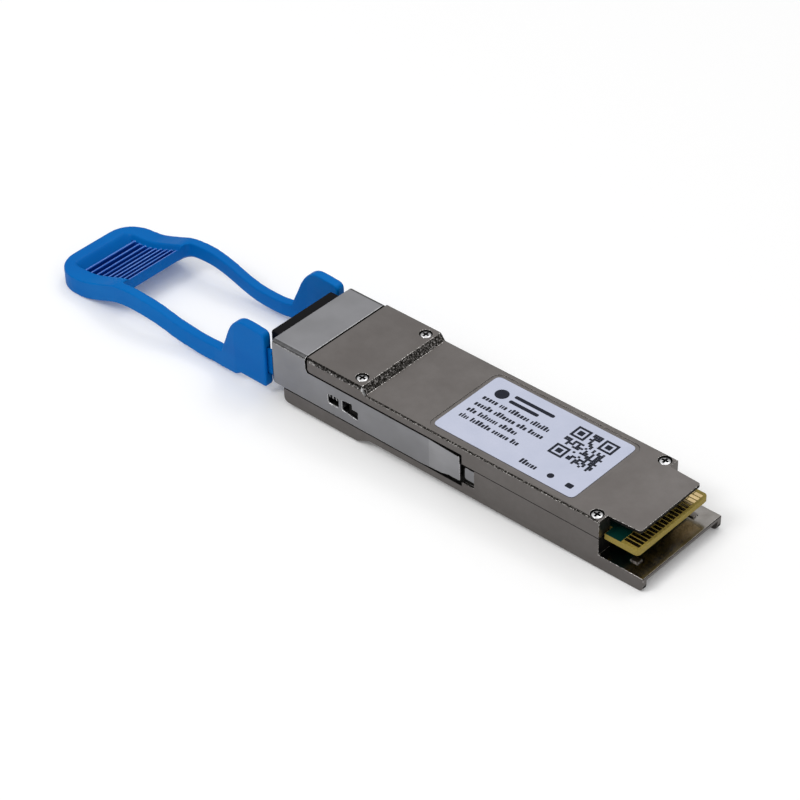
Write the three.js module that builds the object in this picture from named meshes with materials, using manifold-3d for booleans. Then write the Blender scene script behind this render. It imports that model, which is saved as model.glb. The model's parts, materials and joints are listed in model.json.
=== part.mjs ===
// Pluggable optical transceiver module with a duplex LC receptacle and a pull-tab latch.
//
// Units are millimetres. X runs along the module from the receptacle (low X) to the card
// edge (high X), Y across it, and Z from the heat-sink face to the label face.
// Lengths along X are counted from the front edge of the latch slider, and the whole
// assembly is then shifted so that the origin lies on the heat-sink face.

import * as THREE from 'three';
import { mergeVertices } from 'three/addons/utils/BufferGeometryUtils.js';
import Module from 'manifold-3d';

const wasm = await Module();
wasm.setup();

// ---- Driving dimensions -------------------------------------------------------------

const MODULE_WIDTH = 18.35;
const MODULE_LENGTH = 72.4;
const LABEL_FACE_Z = 8.5;
const RAISED_FACE_Z = 9.7;
const NOSE_BOTTOM_Z = -1.24;
const ORIGIN_X = 42.0;

const HALF_WIDTH = MODULE_WIDTH / 2;
const FIT_GAP = 0.04;
const TOUCH_GAP = 0.01;

// Latch slider: a sheet-metal U with two long arms
const SHEET = 0.35;
const SLIDER_TOP_Z = 9.55;
const SLIDER_TOP_LENGTH = 7.05;
const SLIDER_BEND_RADIUS = 0.9;
const COVER_GAP = 0.45;
const ARM_TOP_Z = 6.85;
const ARM_BOTTOM_Z = 1.4;
const ARM_END_X = 38.5;
const ARM_FLARE_X = 32.2;
const ARM_FLARE = 0.27;
const TANG_LENGTH = 6.0;
const TANG_BOTTOM_Z = 1.9;
const TANG_TOP_Z = 6.6;
const TANG_INSET = 0.77;
const TANG_RELIEF = { x0: -0.7, x1: 0, z0: 5.9 };
const SPRING_TAB = { x: 14.5, tipY: 7.4, z0: 3.55, z1: 4.65 };

// Shells
const SEAM_Z = 5.4;
const SKIRT_Y = HALF_WIDTH - SHEET - 0.08;
const SKIRT_END_X = 38.6;
const STOP_POCKET_END_X = 41.0;
const STOP = { x0: 39.15, z0: 2.9, z1: 5.0, outer: 9.08, inner: 8.0 };
const POCKET_SILL_Z = 2.0;
const CHEEK_Z = 7.08;
const GASKET = { x0: 20, x1: 60, y0: 8.02, y1: 8.48, halfHeight: 0.24 };
const FLOOR_Z = 1.2;
const CEILING_Z = 7.4;
const CAVITY_Y = 7.75;
const LEDGE = { x0: 30, x1: 60, y: 7.15 };
const PEDESTAL = { x0: 37, x1: 47, halfWidth: 5, top: 3.0 };
const BOSS_Y = [6.6, 8.5];
const FRONT_CAVITY_Y = 6.15;
const FRONT_CAVITY_END_X = 18.5;
const BODY_END_X = 64.3;
const BULKHEAD_X = 61.0;
const BULKHEAD_THICKNESS = 0.8;
const NOSE_START_X = 2.08;
const NOSE_RAMP_X = [17.5, 20.0];
const SHELF_START_X = 0.3;
const STEP_TOP_X = 18.73;
const STEP_BOTTOM_X = 19.57;

// Card-edge end
const TONGUE_TOP_Z = 2.38;
const TONGUE_THICKNESS = 0.6;
const RAIL_WIDTH = 0.85;
const BUMP = { x0: 68.4, x1: 69.8, y0: 6.0, y1: 7.1, top: 2.62 };
const COVER_TONGUE_END_X = 70.0;
const COVER_TONGUE_CORNER = 0.45;
const COVER_TONGUE_BOTTOM_Z = 8.0;

// Circuit board
const BOARD_TOP_Z = 5.95;
const BOARD_THICKNESS = 1.0;
const BOARD_START_X = 29.5;
const BOARD_END_X = 70.6;
const BOARD_INNER_Y = 7.5;
const BOARD_NECK_Y = 6.45;
const CARD_WIDTH = 16.42;

// Label
const LABEL = { x0: 31.56, x1: 58.1, halfWidth: 7.56, corner: 1.0, thickness: 0.1 };
const LABEL_RECESS_MARGIN = 0.65;
const LABEL_RECESS_DEPTH = 0.15;

// Receptacle and optics
const PORT_PITCH = 6.25;
const PORT_SIZE = 4.7;
const PORT_Z = 5.3;
const RECEPTACLE_FRONT_X = -2.3;
const RECEPTACLE_END_X = 9.0;
const RECEPTACLE_Y = 6.6;
const RECEPTACLE_BOTTOM_Z = 0.2;
const RECEPTACLE_TOP_Z = 8.3;
const BARREL_TIP_X = 3.9;
const BARREL_RADIUS = 1.45;
const FLANGE_RADIUS = 2.2;
const FLANGES_X = [9.4, 9.95, 11.05, 11.6];
const BORE_RADIUS = 0.65;
const BORE_END_X = 11.3;
const CLAMP = { x0: 10.1, x1: 10.9, halfWidth: 5.4, bottom: 2.95, top: 8.2 };
const OPTICS_X = [12.7, 27.0];
const OPTICS_Z = [2.6, 7.2];
const OPTICS_WIDTH = 5.6;

// Fasteners
const SCREW = { headRadius: 0.88, headHeight: 0.8, shankRadius: 0.6, sink: 0.05, tipZ: 3.6 };
const COUNTERBORE = { radius: 1.05, depth: 0.95 };
const SCREWS = [
  { name: 'cover_screw_front_right', x: 17.2, y: -7.2, faceZ: RAISED_FACE_Z },
  { name: 'cover_screw_front_left', x: 17.2, y: 7.2, faceZ: RAISED_FACE_Z },
  { name: 'cover_screw_rear_right', x: 62.9, y: -7.85, faceZ: LABEL_FACE_Z },
  { name: 'cover_screw_rear_left', x: 62.9, y: 7.85, faceZ: LABEL_FACE_Z },
];

// Return springs
const SPRING = { x0: 9.95, x1: 14.35, y: 8.0, z: 4.1, radius: 0.55, wire: 0.15, turns: 5 };
const SPRING_POCKET = { x0: 9.7, x1: 15.7, y: 7.15, z0: 3.15, z1: 5.05 };

// Pull tab
const TAB_THICKNESS = 3.35;
const TAB_TIP_X = -52.0;
const TAB_TIP_RADIUS = 6.2;
const TAB_HALF_WIDTH = 9.1;
const TAB_WAIST_Y = 8.55;
const EAR_Y = 9.2;
const TAB_ARM_WIDTH = 1.65;
const EAR_END_X = -1.75;
const WINDOW_END_X = -36.15;
const WINDOW_CORNER = 1.0;
const BEVEL = 0.85;
const BEVEL_START_X = -4.0;
const RECESS = { x0: -49.0, x1: -36.45, halfWidth: 6.0, floor: 1.7, underside: 0.5 };
const RIBS = { count: 9, firstX: -47.4, pitch: 1.31, width: 0.42, halfLength: 5.65, drop: 0.85 };

// Lower edge of the ears, as [x, z] points
const EAR_UNDERSIDE = [[EAR_END_X, -0.65], [-7.4, -0.6], [-8.6, -1.35]];

// The tab's gentle wave: the height of its upper face along X, as [x, z] points
const TAB_CREST = [
  [-12.0, 1.5],
  [-17.0, 1.2],
  [-22.0, 1.68],
  [-27.0, 2.85],
  [-31.5, 3.3],
  [-36.0, 2.9],
  [-40.0, 1.5],
  [-44.0, 0.2],
  [-48.0, -0.12],
  [TAB_TIP_X, -0.15],
];

// ---- Geometry helpers ---------------------------------------------------------------

// A closed outline of [u, v] or [u, v, cornerRadius] points
function outline(points) {
  const shape = new THREE.Shape();
  const count = points.length;
  points.forEach(([u, v, radius = 0], i) => {
    const corner = new THREE.Vector2(u, v);
    if (radius === 0) {
      if (i === 0) shape.moveTo(u, v);
      else shape.lineTo(u, v);
      return;
    }
    const before = new THREE.Vector2(...points[(i + count - 1) % count]);
    const after = new THREE.Vector2(...points[(i + 1) % count]);
    const start = before.sub(corner).setLength(radius).add(corner);
    const end = after.sub(corner).setLength(radius).add(corner);
    if (i === 0) shape.moveTo(start.x, start.y);
    else shape.lineTo(start.x, start.y);
    shape.quadraticCurveTo(u, v, end.x, end.y);
  });
  shape.closePath();
  return shape;
}

function extrude(points, depth, curveSegments = 4) {
  const shape = points instanceof THREE.Shape ? points : outline(points);
  return new THREE.ExtrudeGeometry(shape, { depth, bevelEnabled: false, curveSegments });
}

// Outline in (x, z), from y0 to y1
function prismY(points, y0, y1) {
  return extrude(points, y1 - y0).rotateX(Math.PI / 2).translate(0, y1, 0);
}

// Outline in (x, y), from z0 to z1
function prismZ(points, z0, z1, curveSegments) {
  return extrude(points, z1 - z0, curveSegments).translate(0, 0, z0);
}

// Outline in (y, z), from x0 to x1
function prismX(points, x0, x1, curveSegments) {
  const axes = new THREE.Matrix4().makeBasis(
    new THREE.Vector3(0, 1, 0),
    new THREE.Vector3(0, 0, 1),
    new THREE.Vector3(1, 0, 0),
  );
  return extrude(points, x1 - x0, curveSegments).applyMatrix4(axes).translate(x0, 0, 0);
}

function box(x0, x1, y0, y1, z0, z1) {
  const block = new THREE.BoxGeometry(x1 - x0, y1 - y0, z1 - z0);
  return block.translate((x0 + x1) / 2, (y0 + y1) / 2, (z0 + z1) / 2);
}

// A box centred on y = 0
function centredBox(x0, x1, halfWidth, z0, z1) {
  return box(x0, x1, -halfWidth, halfWidth, z0, z1);
}

// A plan rectangle with rounded corners
function roundedPlate(x0, x1, halfWidth, radius, z0, z1) {
  const corners = [[x0, -halfWidth], [x1, -halfWidth], [x1, halfWidth], [x0, halfWidth]];
  return prismZ(corners.map((corner) => [...corner, radius]), z0, z1);
}

function cylinderZ(x, y, radius, z0, z1, segments = 16) {
  const rod = new THREE.CylinderGeometry(radius, radius, z1 - z0, segments);
  return rod.rotateX(Math.PI / 2).translate(x, y, (z0 + z1) / 2);
}

// A solid of revolution about an axis along X, from a profile of [x, radius] points
function turnedX(profile, y, z, segments = 16) {
  const points = profile.map(([x, radius]) => new THREE.Vector2(radius, x));
  const turned = new THREE.LatheGeometry(points, segments);
  return turned.rotateZ(-Math.PI / 2).translate(0, y, z);
}

function toSolid(geometry) {
  const bare = geometry.clone();
  bare.deleteAttribute('normal');
  bare.deleteAttribute('uv');
  const welded = mergeVertices(bare, 1e-5);
  const vertProperties = new Float32Array(welded.attributes.position.array);
  const triVerts = new Uint32Array(welded.index.array);
  return new wasm.Manifold(new wasm.Mesh({ numProp: 3, vertProperties, triVerts }));
}

function join(...geometries) {
  return geometries.map(toSolid).reduce((whole, piece) => whole.add(piece));
}

function cut(solid, ...geometries) {
  return geometries.map(toSolid).reduce((rest, piece) => rest.subtract(piece), solid);
}

function toGeometry(solid) {
  const { vertProperties, triVerts } = solid.getMesh();
  const geometry = new THREE.BufferGeometry();
  geometry.setAttribute('position', new THREE.BufferAttribute(vertProperties, 3));
  geometry.setIndex(new THREE.BufferAttribute(triVerts, 1));
  geometry.computeVertexNormals();
  return geometry;
}

// The same geometry on both sides of the module
function bothSides(make) {
  return [-1, 1].map(make);
}

// A box from y0 outwards to y1, on the given side
function sideBox(side, x0, x1, y0, y1, z0, z1) {
  return side > 0 ? box(x0, x1, y0, y1, z0, z1) : box(x0, x1, -y1, -y0, z0, z1);
}

function standardMaterial(color, roughness, metalness) {
  return new THREE.MeshStandardMaterial({ color, roughness, metalness });
}

const MATERIALS = {
  castMetal: () => standardMaterial(0x706c68, 0.45, 0.9),
  sheetMetal: () => standardMaterial(0x8f8f95, 0.35, 0.9),
  bluePlastic: () => standardMaterial(0x005fb0, 0.45, 0),
  blackPlastic: () => standardMaterial(0x151517, 0.5, 0),
  paper: () => standardMaterial(0xc6cbde, 0.6, 0),
  steel: () => standardMaterial(0xb8b8ba, 0.3, 1),
  gold: () => standardMaterial(0xc9a64a, 0.3, 1),
  zirconia: () => standardMaterial(0xf0ede6, 0.3, 0),
  polyimide: () => standardMaterial(0xb5762a, 0.5, 0),
  laminate: () => standardMaterial(0x0c4a38, 0.5, 0),
  chip: () => standardMaterial(0x1d1d20, 0.6, 0),
  ferrite: () => standardMaterial(0x4a4a4c, 0.7, 0.1),
  ceramic: () => standardMaterial(0xa58a68, 0.6, 0),
  thermalPad: () => standardMaterial(0x8fa6b8, 0.9, 0),
  gasket: () => standardMaterial(0x3a3a3c, 0.8, 0.2),
};

const assembly = new THREE.Group();
assembly.position.x = -ORIGIN_X;

function addPart(name, shape, material) {
  const geometry = shape instanceof THREE.BufferGeometry ? shape : toGeometry(shape);
  const mesh = new THREE.Mesh(geometry, material());
  mesh.name = name;
  assembly.add(mesh);
}

// ---- Shells -------------------------------------------------------------------------

function barrelAxes() {
  return [-PORT_PITCH / 2, PORT_PITCH / 2];
}

function springPockets() {
  const p = SPRING_POCKET;
  return bothSides((side) => sideBox(side, p.x0, p.x1, p.y, HALF_WIDTH, p.z0, p.z1));
}

function gasketGrooves(z0, z1) {
  const { x0, x1, y0, y1 } = GASKET;
  const gap = 0.05;
  return bothSides((side) => sideBox(side, x0 - gap, x1 + gap, y0 - gap, y1 + gap, z0, z1));
}

// Blocks beside the card's neck that the rear screws pass through
function screwBosses(bulkheadEnd, z0, z1) {
  const [y0, y1] = BOSS_Y;
  return bothSides((side) => sideBox(side, bulkheadEnd - 0.1, BODY_END_X, y0, y1, z0, z1));
}

// Openings in the wall behind the receptacle, for the barrels, their flanges and the clamp
function barrelSeats(z1) {
  const seatZ = PORT_Z - BARREL_RADIUS - 0.1;
  const flangeZ = PORT_Z - FLANGE_RADIUS - 0.2;
  const seatY = FLANGE_RADIUS + 0.2;
  const seats = barrelAxes().flatMap((y) => [
    box(RECEPTACLE_END_X, 12.0, y - BARREL_RADIUS - 0.3, y + BARREL_RADIUS + 0.3, seatZ, z1),
    box(FLANGES_X[0] - 0.05, FLANGES_X[3] + 0.05, y - seatY, y + seatY, flangeZ, z1),
  ]);
  const slot = centredBox(CLAMP.x0 - 0.1, CLAMP.x1 + 0.1, CLAMP.halfWidth + 0.15, flangeZ - 0.1, z1);
  return [...seats, slot];
}

function baseShell() {
  const top = SEAM_Z - FIT_GAP / 2;
  const flangeTop = ARM_BOTTOM_Z - 0.12;
  const core = prismY([
    [NOSE_START_X, NOSE_BOTTOM_Z, 1.0], [NOSE_RAMP_X[0], NOSE_BOTTOM_Z], [NOSE_RAMP_X[1], 0],
    [BODY_END_X, 0], [BODY_END_X, top], [NOSE_START_X, top],
  ], -SKIRT_Y, SKIRT_Y);
  const flange = prismY([
    [NOSE_START_X, NOSE_BOTTOM_Z, 1.0], [NOSE_RAMP_X[0], NOSE_BOTTOM_Z], [NOSE_RAMP_X[1], 0],
    [BODY_END_X, 0], [BODY_END_X, flangeTop], [NOSE_START_X, flangeTop],
  ], -HALF_WIDTH, HALF_WIDTH);
  const rearWalls = centredBox(STOP_POCKET_END_X, BODY_END_X, HALF_WIDTH, 0, top);
  const pocketSill = centredBox(SKIRT_END_X, STOP_POCKET_END_X, HALF_WIDTH, 0, POCKET_SILL_Z);
  const stops = bothSides(latchStop);
  const tongue = prismY([
    [BODY_END_X - 1, 0], [MODULE_LENGTH, 0, 1.0], [MODULE_LENGTH, TONGUE_TOP_Z, 0.15],
    [BODY_END_X - 1, TONGUE_TOP_Z],
  ], -HALF_WIDTH, HALF_WIDTH);
  const solid = join(core, flange, rearWalls, pocketSill, tongue, ...stops);

  const bulkheadEnd = BULKHEAD_X + BULKHEAD_THICKNESS;
  const boardSeat = BOARD_TOP_Z - BOARD_THICKNESS - FIT_GAP;
  const ledges = bothSides((side) => (
    sideBox(side, LEDGE.x0, LEDGE.x1, LEDGE.y, CAVITY_Y + 0.25, FLOOR_Z - 0.2, boardSeat)
  ));
  const pedestal = centredBox(
    PEDESTAL.x0, PEDESTAL.x1, PEDESTAL.halfWidth, FLOOR_Z - 0.2, PEDESTAL.top,
  );
  const bosses = screwBosses(bulkheadEnd, FLOOR_Z, top);
  const bumps = bothSides((side) => (
    sideBox(side, BUMP.x0, BUMP.x1, BUMP.y0, BUMP.y1, TONGUE_TOP_Z - 0.4, BUMP.top)
  ));
  const hollow = cut(
    solid,
    centredBox(FRONT_CAVITY_END_X, BULKHEAD_X, CAVITY_Y, FLOOR_Z, top + 1),
    centredBox(11.9, FRONT_CAVITY_END_X + 0.1, FRONT_CAVITY_Y, FLOOR_Z, top + 1),
    centredBox(BULKHEAD_X - 0.1, bulkheadEnd + 0.1, CAVITY_Y, boardSeat, top + 1),
    centredBox(bulkheadEnd, BODY_END_X + 1, CAVITY_Y, TONGUE_TOP_Z, top + 1),
    centredBox(NOSE_START_X - 1, RECEPTACLE_END_X + 0.05, RECEPTACLE_Y + 0.05, 0.15, top + 1),
    ...barrelSeats(top + 1),
    ...springPockets(),
    ...gasketGrooves(top - 0.25, top + 1),
    tongueUnderside(),
  );
  const furnished = [pedestal, ...ledges, ...bosses, ...bumps].map(toSolid)
    .reduce((whole, piece) => whole.add(piece), hollow);
  const shankHoles = SCREWS.map(({ x, y }) => (
    cylinderZ(x, y, SCREW.shankRadius + 0.06, SCREW.tipZ - 0.2, top + 1)
  ));
  return cut(furnished, ...shankHoles);
}

// Block that ends the slider's return travel, proud of the pocket behind the arm
function latchStop(side) {
  const { x0, z0, z1, outer, inner } = STOP;
  return prismY([
    [x0, z0, 0.5], [STOP_POCKET_END_X, z0], [STOP_POCKET_END_X, z1], [x0, z1, 0.25],
  ], side > 0 ? inner : -outer, side > 0 ? outer : -inner);
}

// Space under the rear tongue, between its two side rails
function tongueUnderside() {
  const underside = TONGUE_TOP_Z - TONGUE_THICKNESS;
  return prismY([
    [BODY_END_X + 0.7, -1], [MODULE_LENGTH + 1, -1], [MODULE_LENGTH + 1, underside],
    [MODULE_LENGTH - 2.2, underside], [BODY_END_X + 0.7, 0],
  ], -HALF_WIDTH + RAIL_WIDTH, HALF_WIDTH - RAIL_WIDTH);
}

function coverShell() {
  const bottom = SEAM_Z + FIT_GAP / 2;
  const shelfTop = SLIDER_TOP_Z - SHEET - 0.1;
  const front = SLIDER_TOP_LENGTH + COVER_GAP;
  const core = prismY([
    [SHELF_START_X, bottom], [BODY_END_X, bottom], [BODY_END_X, LABEL_FACE_Z],
    [STEP_BOTTOM_X, LABEL_FACE_Z], [STEP_TOP_X, RAISED_FACE_Z], [front, RAISED_FACE_Z],
    [front, shelfTop], [SHELF_START_X, shelfTop],
  ], -SKIRT_Y, SKIRT_Y);
  const cheeks = prismY([
    [SKIRT_END_X, bottom], [BODY_END_X, bottom], [BODY_END_X, LABEL_FACE_Z],
    [STEP_BOTTOM_X, LABEL_FACE_Z], [STEP_TOP_X, RAISED_FACE_Z], [front, RAISED_FACE_Z],
    [front, CHEEK_Z + 0.35], [front + 0.35, CHEEK_Z], [SKIRT_END_X, CHEEK_Z],
  ], -HALF_WIDTH, HALF_WIDTH);
  const tongue = prismZ([
    [BODY_END_X - 1, -7.2], [BODY_END_X, -7.2], [COVER_TONGUE_END_X, -6.95, COVER_TONGUE_CORNER],
    [COVER_TONGUE_END_X, 6.95, COVER_TONGUE_CORNER], [BODY_END_X, 7.2], [BODY_END_X - 1, 7.2],
  ], COVER_TONGUE_BOTTOM_Z, LABEL_FACE_Z);
  const solid = join(core, cheeks, tongue);

  const bulkheadEnd = BULKHEAD_X + BULKHEAD_THICKNESS;
  const boardClear = BOARD_TOP_Z + FIT_GAP;
  const labelTop = LABEL_FACE_Z + 1;
  const recess = roundedPlate(
    LABEL.x0 - LABEL_RECESS_MARGIN, LABEL.x1 + LABEL_RECESS_MARGIN,
    LABEL.halfWidth + LABEL_RECESS_MARGIN, LABEL.corner + LABEL_RECESS_MARGIN,
    LABEL_FACE_Z - LABEL_RECESS_DEPTH, labelTop,
  );
  const hollow = cut(
    solid,
    centredBox(FRONT_CAVITY_END_X, BULKHEAD_X, CAVITY_Y, bottom - 1, CEILING_Z),
    centredBox(9.3, FRONT_CAVITY_END_X + 0.1, FRONT_CAVITY_Y, bottom - 1, 8.6),
    centredBox(BULKHEAD_X - 0.1, bulkheadEnd + 0.1, CAVITY_Y, bottom - 1, boardClear),
    centredBox(bulkheadEnd, BODY_END_X + 1, CAVITY_Y, bottom - 1, COVER_TONGUE_BOTTOM_Z),
    centredBox(-1, 9.4, RECEPTACLE_Y + 0.05, bottom - 1, RECEPTACLE_TOP_Z + 0.05),
    ...gasketGrooves(bottom - 1, bottom + 0.25),
    ...bothSides((side) => shelfChamfer(side, front)),
    recess,
  );
  const bosses = screwBosses(bulkheadEnd, bottom, COVER_TONGUE_BOTTOM_Z + 0.1);
  const furnished = bosses.map(toSolid).reduce((whole, piece) => whole.add(piece), hollow);
  const holes = SCREWS.flatMap(({ x, y, faceZ }) => [
    cylinderZ(x, y, 0.7, bottom - 1, faceZ),
    cylinderZ(x, y, COUNTERBORE.radius, faceZ - COUNTERBORE.depth, faceZ + 1, 24),
  ]);
  return cut(furnished, ...holes);
}

// Keeps the shelf's long edges clear of the slider's bends
function shelfChamfer(side, front) {
  const edge = SLIDER_BEND_RADIUS - 0.2;
  const top = SLIDER_TOP_Z - SHEET;
  return prismX([
    [side * (SKIRT_Y - edge), top], [side * (SKIRT_Y + 0.1), top],
    [side * (SKIRT_Y + 0.1), top - edge - 0.2],
  ], -1, front);
}

function labelPlate() {
  const bottom = LABEL_FACE_Z - LABEL_RECESS_DEPTH + TOUCH_GAP;
  return roundedPlate(
    LABEL.x0, LABEL.x1, LABEL.halfWidth, LABEL.corner, bottom, bottom + LABEL.thickness,
  );
}

// Pan-head screw with a cross recess
function coverScrew({ x, y, faceZ }) {
  const headTop = faceZ - SCREW.sink;
  const headBottom = headTop - SCREW.headHeight;
  const body = join(
    cylinderZ(x, y, SCREW.headRadius, headBottom, headTop, 20),
    cylinderZ(x, y, SCREW.shankRadius, SCREW.tipZ, headBottom + 0.1, 12),
  );
  const slotDepth = 0.45;
  const reach = 0.56;
  const slotHalf = 0.15;
  return cut(
    body,
    box(x - reach, x + reach, y - slotHalf, y + slotHalf, headTop - slotDepth, headTop + 1),
    box(x - slotHalf, x + slotHalf, y - reach, y + reach, headTop - slotDepth, headTop + 1),
  );
}

function gasket(side) {
  const { x0, x1, y0, y1, halfHeight } = GASKET;
  return sideBox(side, x0, x1, y0, y1, SEAM_Z - halfHeight, SEAM_Z + halfHeight);
}

// ---- Receptacle and optics ----------------------------------------------------------

// Black duplex LC receptacle: two square ports, each with a latch slot below
function receptacle() {
  const collar = prismX([
    [-6.8, -0.2, 0.4], [6.8, -0.2, 0.4], [6.8, 8.9, 0.4], [-6.8, 8.9, 0.4],
  ], RECEPTACLE_FRONT_X, -0.1);
  const body = centredBox(
    -0.2, RECEPTACLE_END_X, RECEPTACLE_Y, RECEPTACLE_BOTTOM_Z, RECEPTACLE_TOP_Z,
  );
  const half = PORT_SIZE / 2;
  const backWallX = RECEPTACLE_END_X - 0.8;
  const latchSlot = { endX: 5.6, halfWidth: 1.7, z: 0.9 };
  const openings = barrelAxes().flatMap((y) => [
    box(RECEPTACLE_FRONT_X - 1, backWallX, y - half, y + half, PORT_Z - half, PORT_Z + half),
    box(
      RECEPTACLE_FRONT_X - 1, latchSlot.endX, y - latchSlot.halfWidth, y + latchSlot.halfWidth,
      latchSlot.z, PORT_Z,
    ),
    turnedX([
      [backWallX - 1, 0], [backWallX - 1, BARREL_RADIUS + 0.1],
      [RECEPTACLE_END_X + 1, BARREL_RADIUS + 0.1], [RECEPTACLE_END_X + 1, 0],
    ], y, PORT_Z),
  ]);
  return cut(join(collar, body), ...openings);
}

// Steel barrel that aligns the connector's ferrule, with two flanges held by the clamp
function barrel(y) {
  const [frontX0, frontX1, rearX0, rearX1] = FLANGES_X;
  const weldX = OPTICS_X[0] - 0.05;
  const weldRadius = 1.6;
  return turnedX([
    [BORE_END_X, 0], [BORE_END_X, BORE_RADIUS], [BARREL_TIP_X + 0.3, BORE_RADIUS],
    [BARREL_TIP_X, BORE_RADIUS + 0.2], [BARREL_TIP_X, BARREL_RADIUS - 0.25],
    [BARREL_TIP_X + 0.25, BARREL_RADIUS], [frontX0, BARREL_RADIUS], [frontX0, FLANGE_RADIUS],
    [frontX1, FLANGE_RADIUS], [frontX1, BARREL_RADIUS], [rearX0, BARREL_RADIUS],
    [rearX0, FLANGE_RADIUS], [rearX1, FLANGE_RADIUS], [rearX1, weldRadius],
    [weldX, weldRadius], [weldX, 0],
  ], y, PORT_Z, 20);
}

function fibreStub(y) {
  const radius = BORE_RADIUS - 0.06;
  const x0 = BORE_END_X - 3.1;
  const x1 = BORE_END_X - 0.1;
  return turnedX([[x0, 0], [x0, radius], [x1, radius], [x1, 0]], y, PORT_Z, 12);
}

// Plate with two U-shaped notches that drops over the barrel necks
function barrelClamp() {
  const notchTop = PORT_Z + BARREL_RADIUS + 0.08;
  const { x0, x1, halfWidth, bottom, top } = CLAMP;
  const notchY = BARREL_RADIUS + 0.1;
  const notches = barrelAxes().map((y) => (
    box(x0 - 1, x1 + 1, y - notchY, y + notchY, bottom - 1, notchTop)
  ));
  return cut(toSolid(centredBox(x0, x1, halfWidth, bottom, top)), ...notches);
}

// Hermetic package with a lid step, behind each barrel
function opticsPackage(y) {
  const half = OPTICS_WIDTH / 2;
  const [x0, x1] = OPTICS_X;
  const [z0, z1] = OPTICS_Z;
  const lid = 0.4;
  return join(
    box(x0, x1, y - half, y + half, z0, z1 - 0.3),
    box(x0 + lid, x1 - lid, y - half + lid, y + half - lid, z1 - 0.5, z1),
  );
}

// Thin ribbon from the package's rear wall, down onto the board
function flexCircuit(y) {
  const x0 = OPTICS_X[1] + 0.03;
  const startZ = 6.7;
  const endZ = BOARD_TOP_Z + 0.03;
  const thickness = 0.16;
  const lower = new THREE.CubicBezierCurve(
    new THREE.Vector2(x0 + 0.5, startZ), new THREE.Vector2(x0 + 1.6, startZ),
    new THREE.Vector2(x0 + 1.7, endZ), new THREE.Vector2(x0 + 3.2, endZ),
  ).getPoints(6).map((point) => [point.x, point.y]);
  const path = [[x0, startZ], ...lower, [33.0, endZ]];
  const upper = path.map(([x, z]) => [x, z + thickness]).reverse();
  return prismY([...path, ...upper], y - 1.9, y + 1.9);
}

// ---- Board and its components -------------------------------------------------------

function circuitBoard() {
  const z1 = BOARD_TOP_Z;
  const neckX0 = BULKHEAD_X - 0.3;
  const neckX1 = BODY_END_X + 0.25;
  const cardY = CARD_WIDTH / 2;
  const right = [
    [BOARD_START_X, -6.8, 0.5], [neckX0, -6.8], [neckX0, -BOARD_NECK_Y],
    [neckX1, -BOARD_NECK_Y], [neckX1, -cardY], [BOARD_END_X, -cardY, 0.8],
  ];
  const left = right.map(([x, y, radius = 0]) => [x, -y, radius]).reverse();
  return prismZ([...right, ...left], z1 - BOARD_THICKNESS, z1);
}

// Chips and passives, the retimer first: side +1 is the board's label side, -1 the other
const COMPONENTS = [
  { name: 'retimer_chip', at: [42.0, 0], size: [8.0, 8.0, 0.95], side: -1, look: 'chip' },
  { name: 'laser_driver_chip', at: [34.6, -3.0], size: [3.2, 3.2, 0.8], side: -1, look: 'chip' },
  { name: 'receiver_amplifier', at: [34.6, 3.0], size: [3.2, 3.2, 0.8], side: -1, look: 'chip' },
  { name: 'microcontroller', at: [49.0, 0], size: [5.0, 5.0, 0.85], side: 1, look: 'chip' },
  { name: 'cooler_controller', at: [38.0, 4.0], size: [3.0, 3.0, 0.75], side: 1, look: 'chip' },
  { name: 'clock_oscillator', at: [44.0, -4.6], size: [2.5, 2.0, 0.7], side: 1, look: 'steel' },
  { name: 'power_inductor_1', at: [55.0, -4.2], size: [2.5, 2.5, 1.2], side: 1, look: 'ferrite' },
  { name: 'power_inductor_2', at: [55.0, 4.2], size: [2.5, 2.5, 1.2], side: 1, look: 'ferrite' },
  { name: 'capacitor_1', at: [58.4, -3.0], size: [1.0, 1.8, 0.8], side: 1, look: 'ceramic' },
  { name: 'capacitor_2', at: [58.4, 0], size: [1.0, 1.8, 0.8], side: 1, look: 'ceramic' },
  { name: 'capacitor_3', at: [58.4, 3.0], size: [1.0, 1.8, 0.8], side: 1, look: 'ceramic' },
];

function component({ at: [x, y], size: [length, width, height], side }) {
  const boardBottom = BOARD_TOP_Z - BOARD_THICKNESS;
  const z = side > 0 ? BOARD_TOP_Z + TOUCH_GAP : boardBottom - TOUCH_GAP - height;
  return box(x - length / 2, x + length / 2, y - width / 2, y + width / 2, z, z + height);
}

// Soft pad that carries the retimer's heat to the pedestal
function retimerPad() {
  const [{ at: [x, y], size: [length, width, height] }] = COMPONENTS;
  const chipBottom = BOARD_TOP_Z - BOARD_THICKNESS - TOUCH_GAP - height;
  const halfX = length / 2 - 0.3;
  const halfY = width / 2 - 0.3;
  return box(
    x - halfX, x + halfX, y - halfY, y + halfY, PEDESTAL.top + TOUCH_GAP, chipBottom - TOUCH_GAP,
  );
}

function opticsPad(y) {
  const [x0, x1] = OPTICS_X;
  const half = OPTICS_WIDTH / 2 - 0.3;
  return box(
    x0 + 1.3, x1 - 1.0, y - half, y + half, FLOOR_Z + TOUCH_GAP, OPTICS_Z[0] - TOUCH_GAP,
  );
}

// ---- Latch --------------------------------------------------------------------------

// A coil spring along X, with its wire ends left open
class CoilCurve extends THREE.Curve {
  constructor(spring, side) {
    super();
    this.spring = spring;
    this.side = side;
  }

  getPoint(t, target = new THREE.Vector3()) {
    const { x0, x1, y, z, radius, wire, turns } = this.spring;
    const angle = t * turns * 2 * Math.PI;
    const x = x0 + wire + t * (x1 - x0 - 2 * wire);
    const acrossY = this.side * y + radius * Math.cos(angle);
    return target.set(x, acrossY, z + radius * Math.sin(angle));
  }
}

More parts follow.
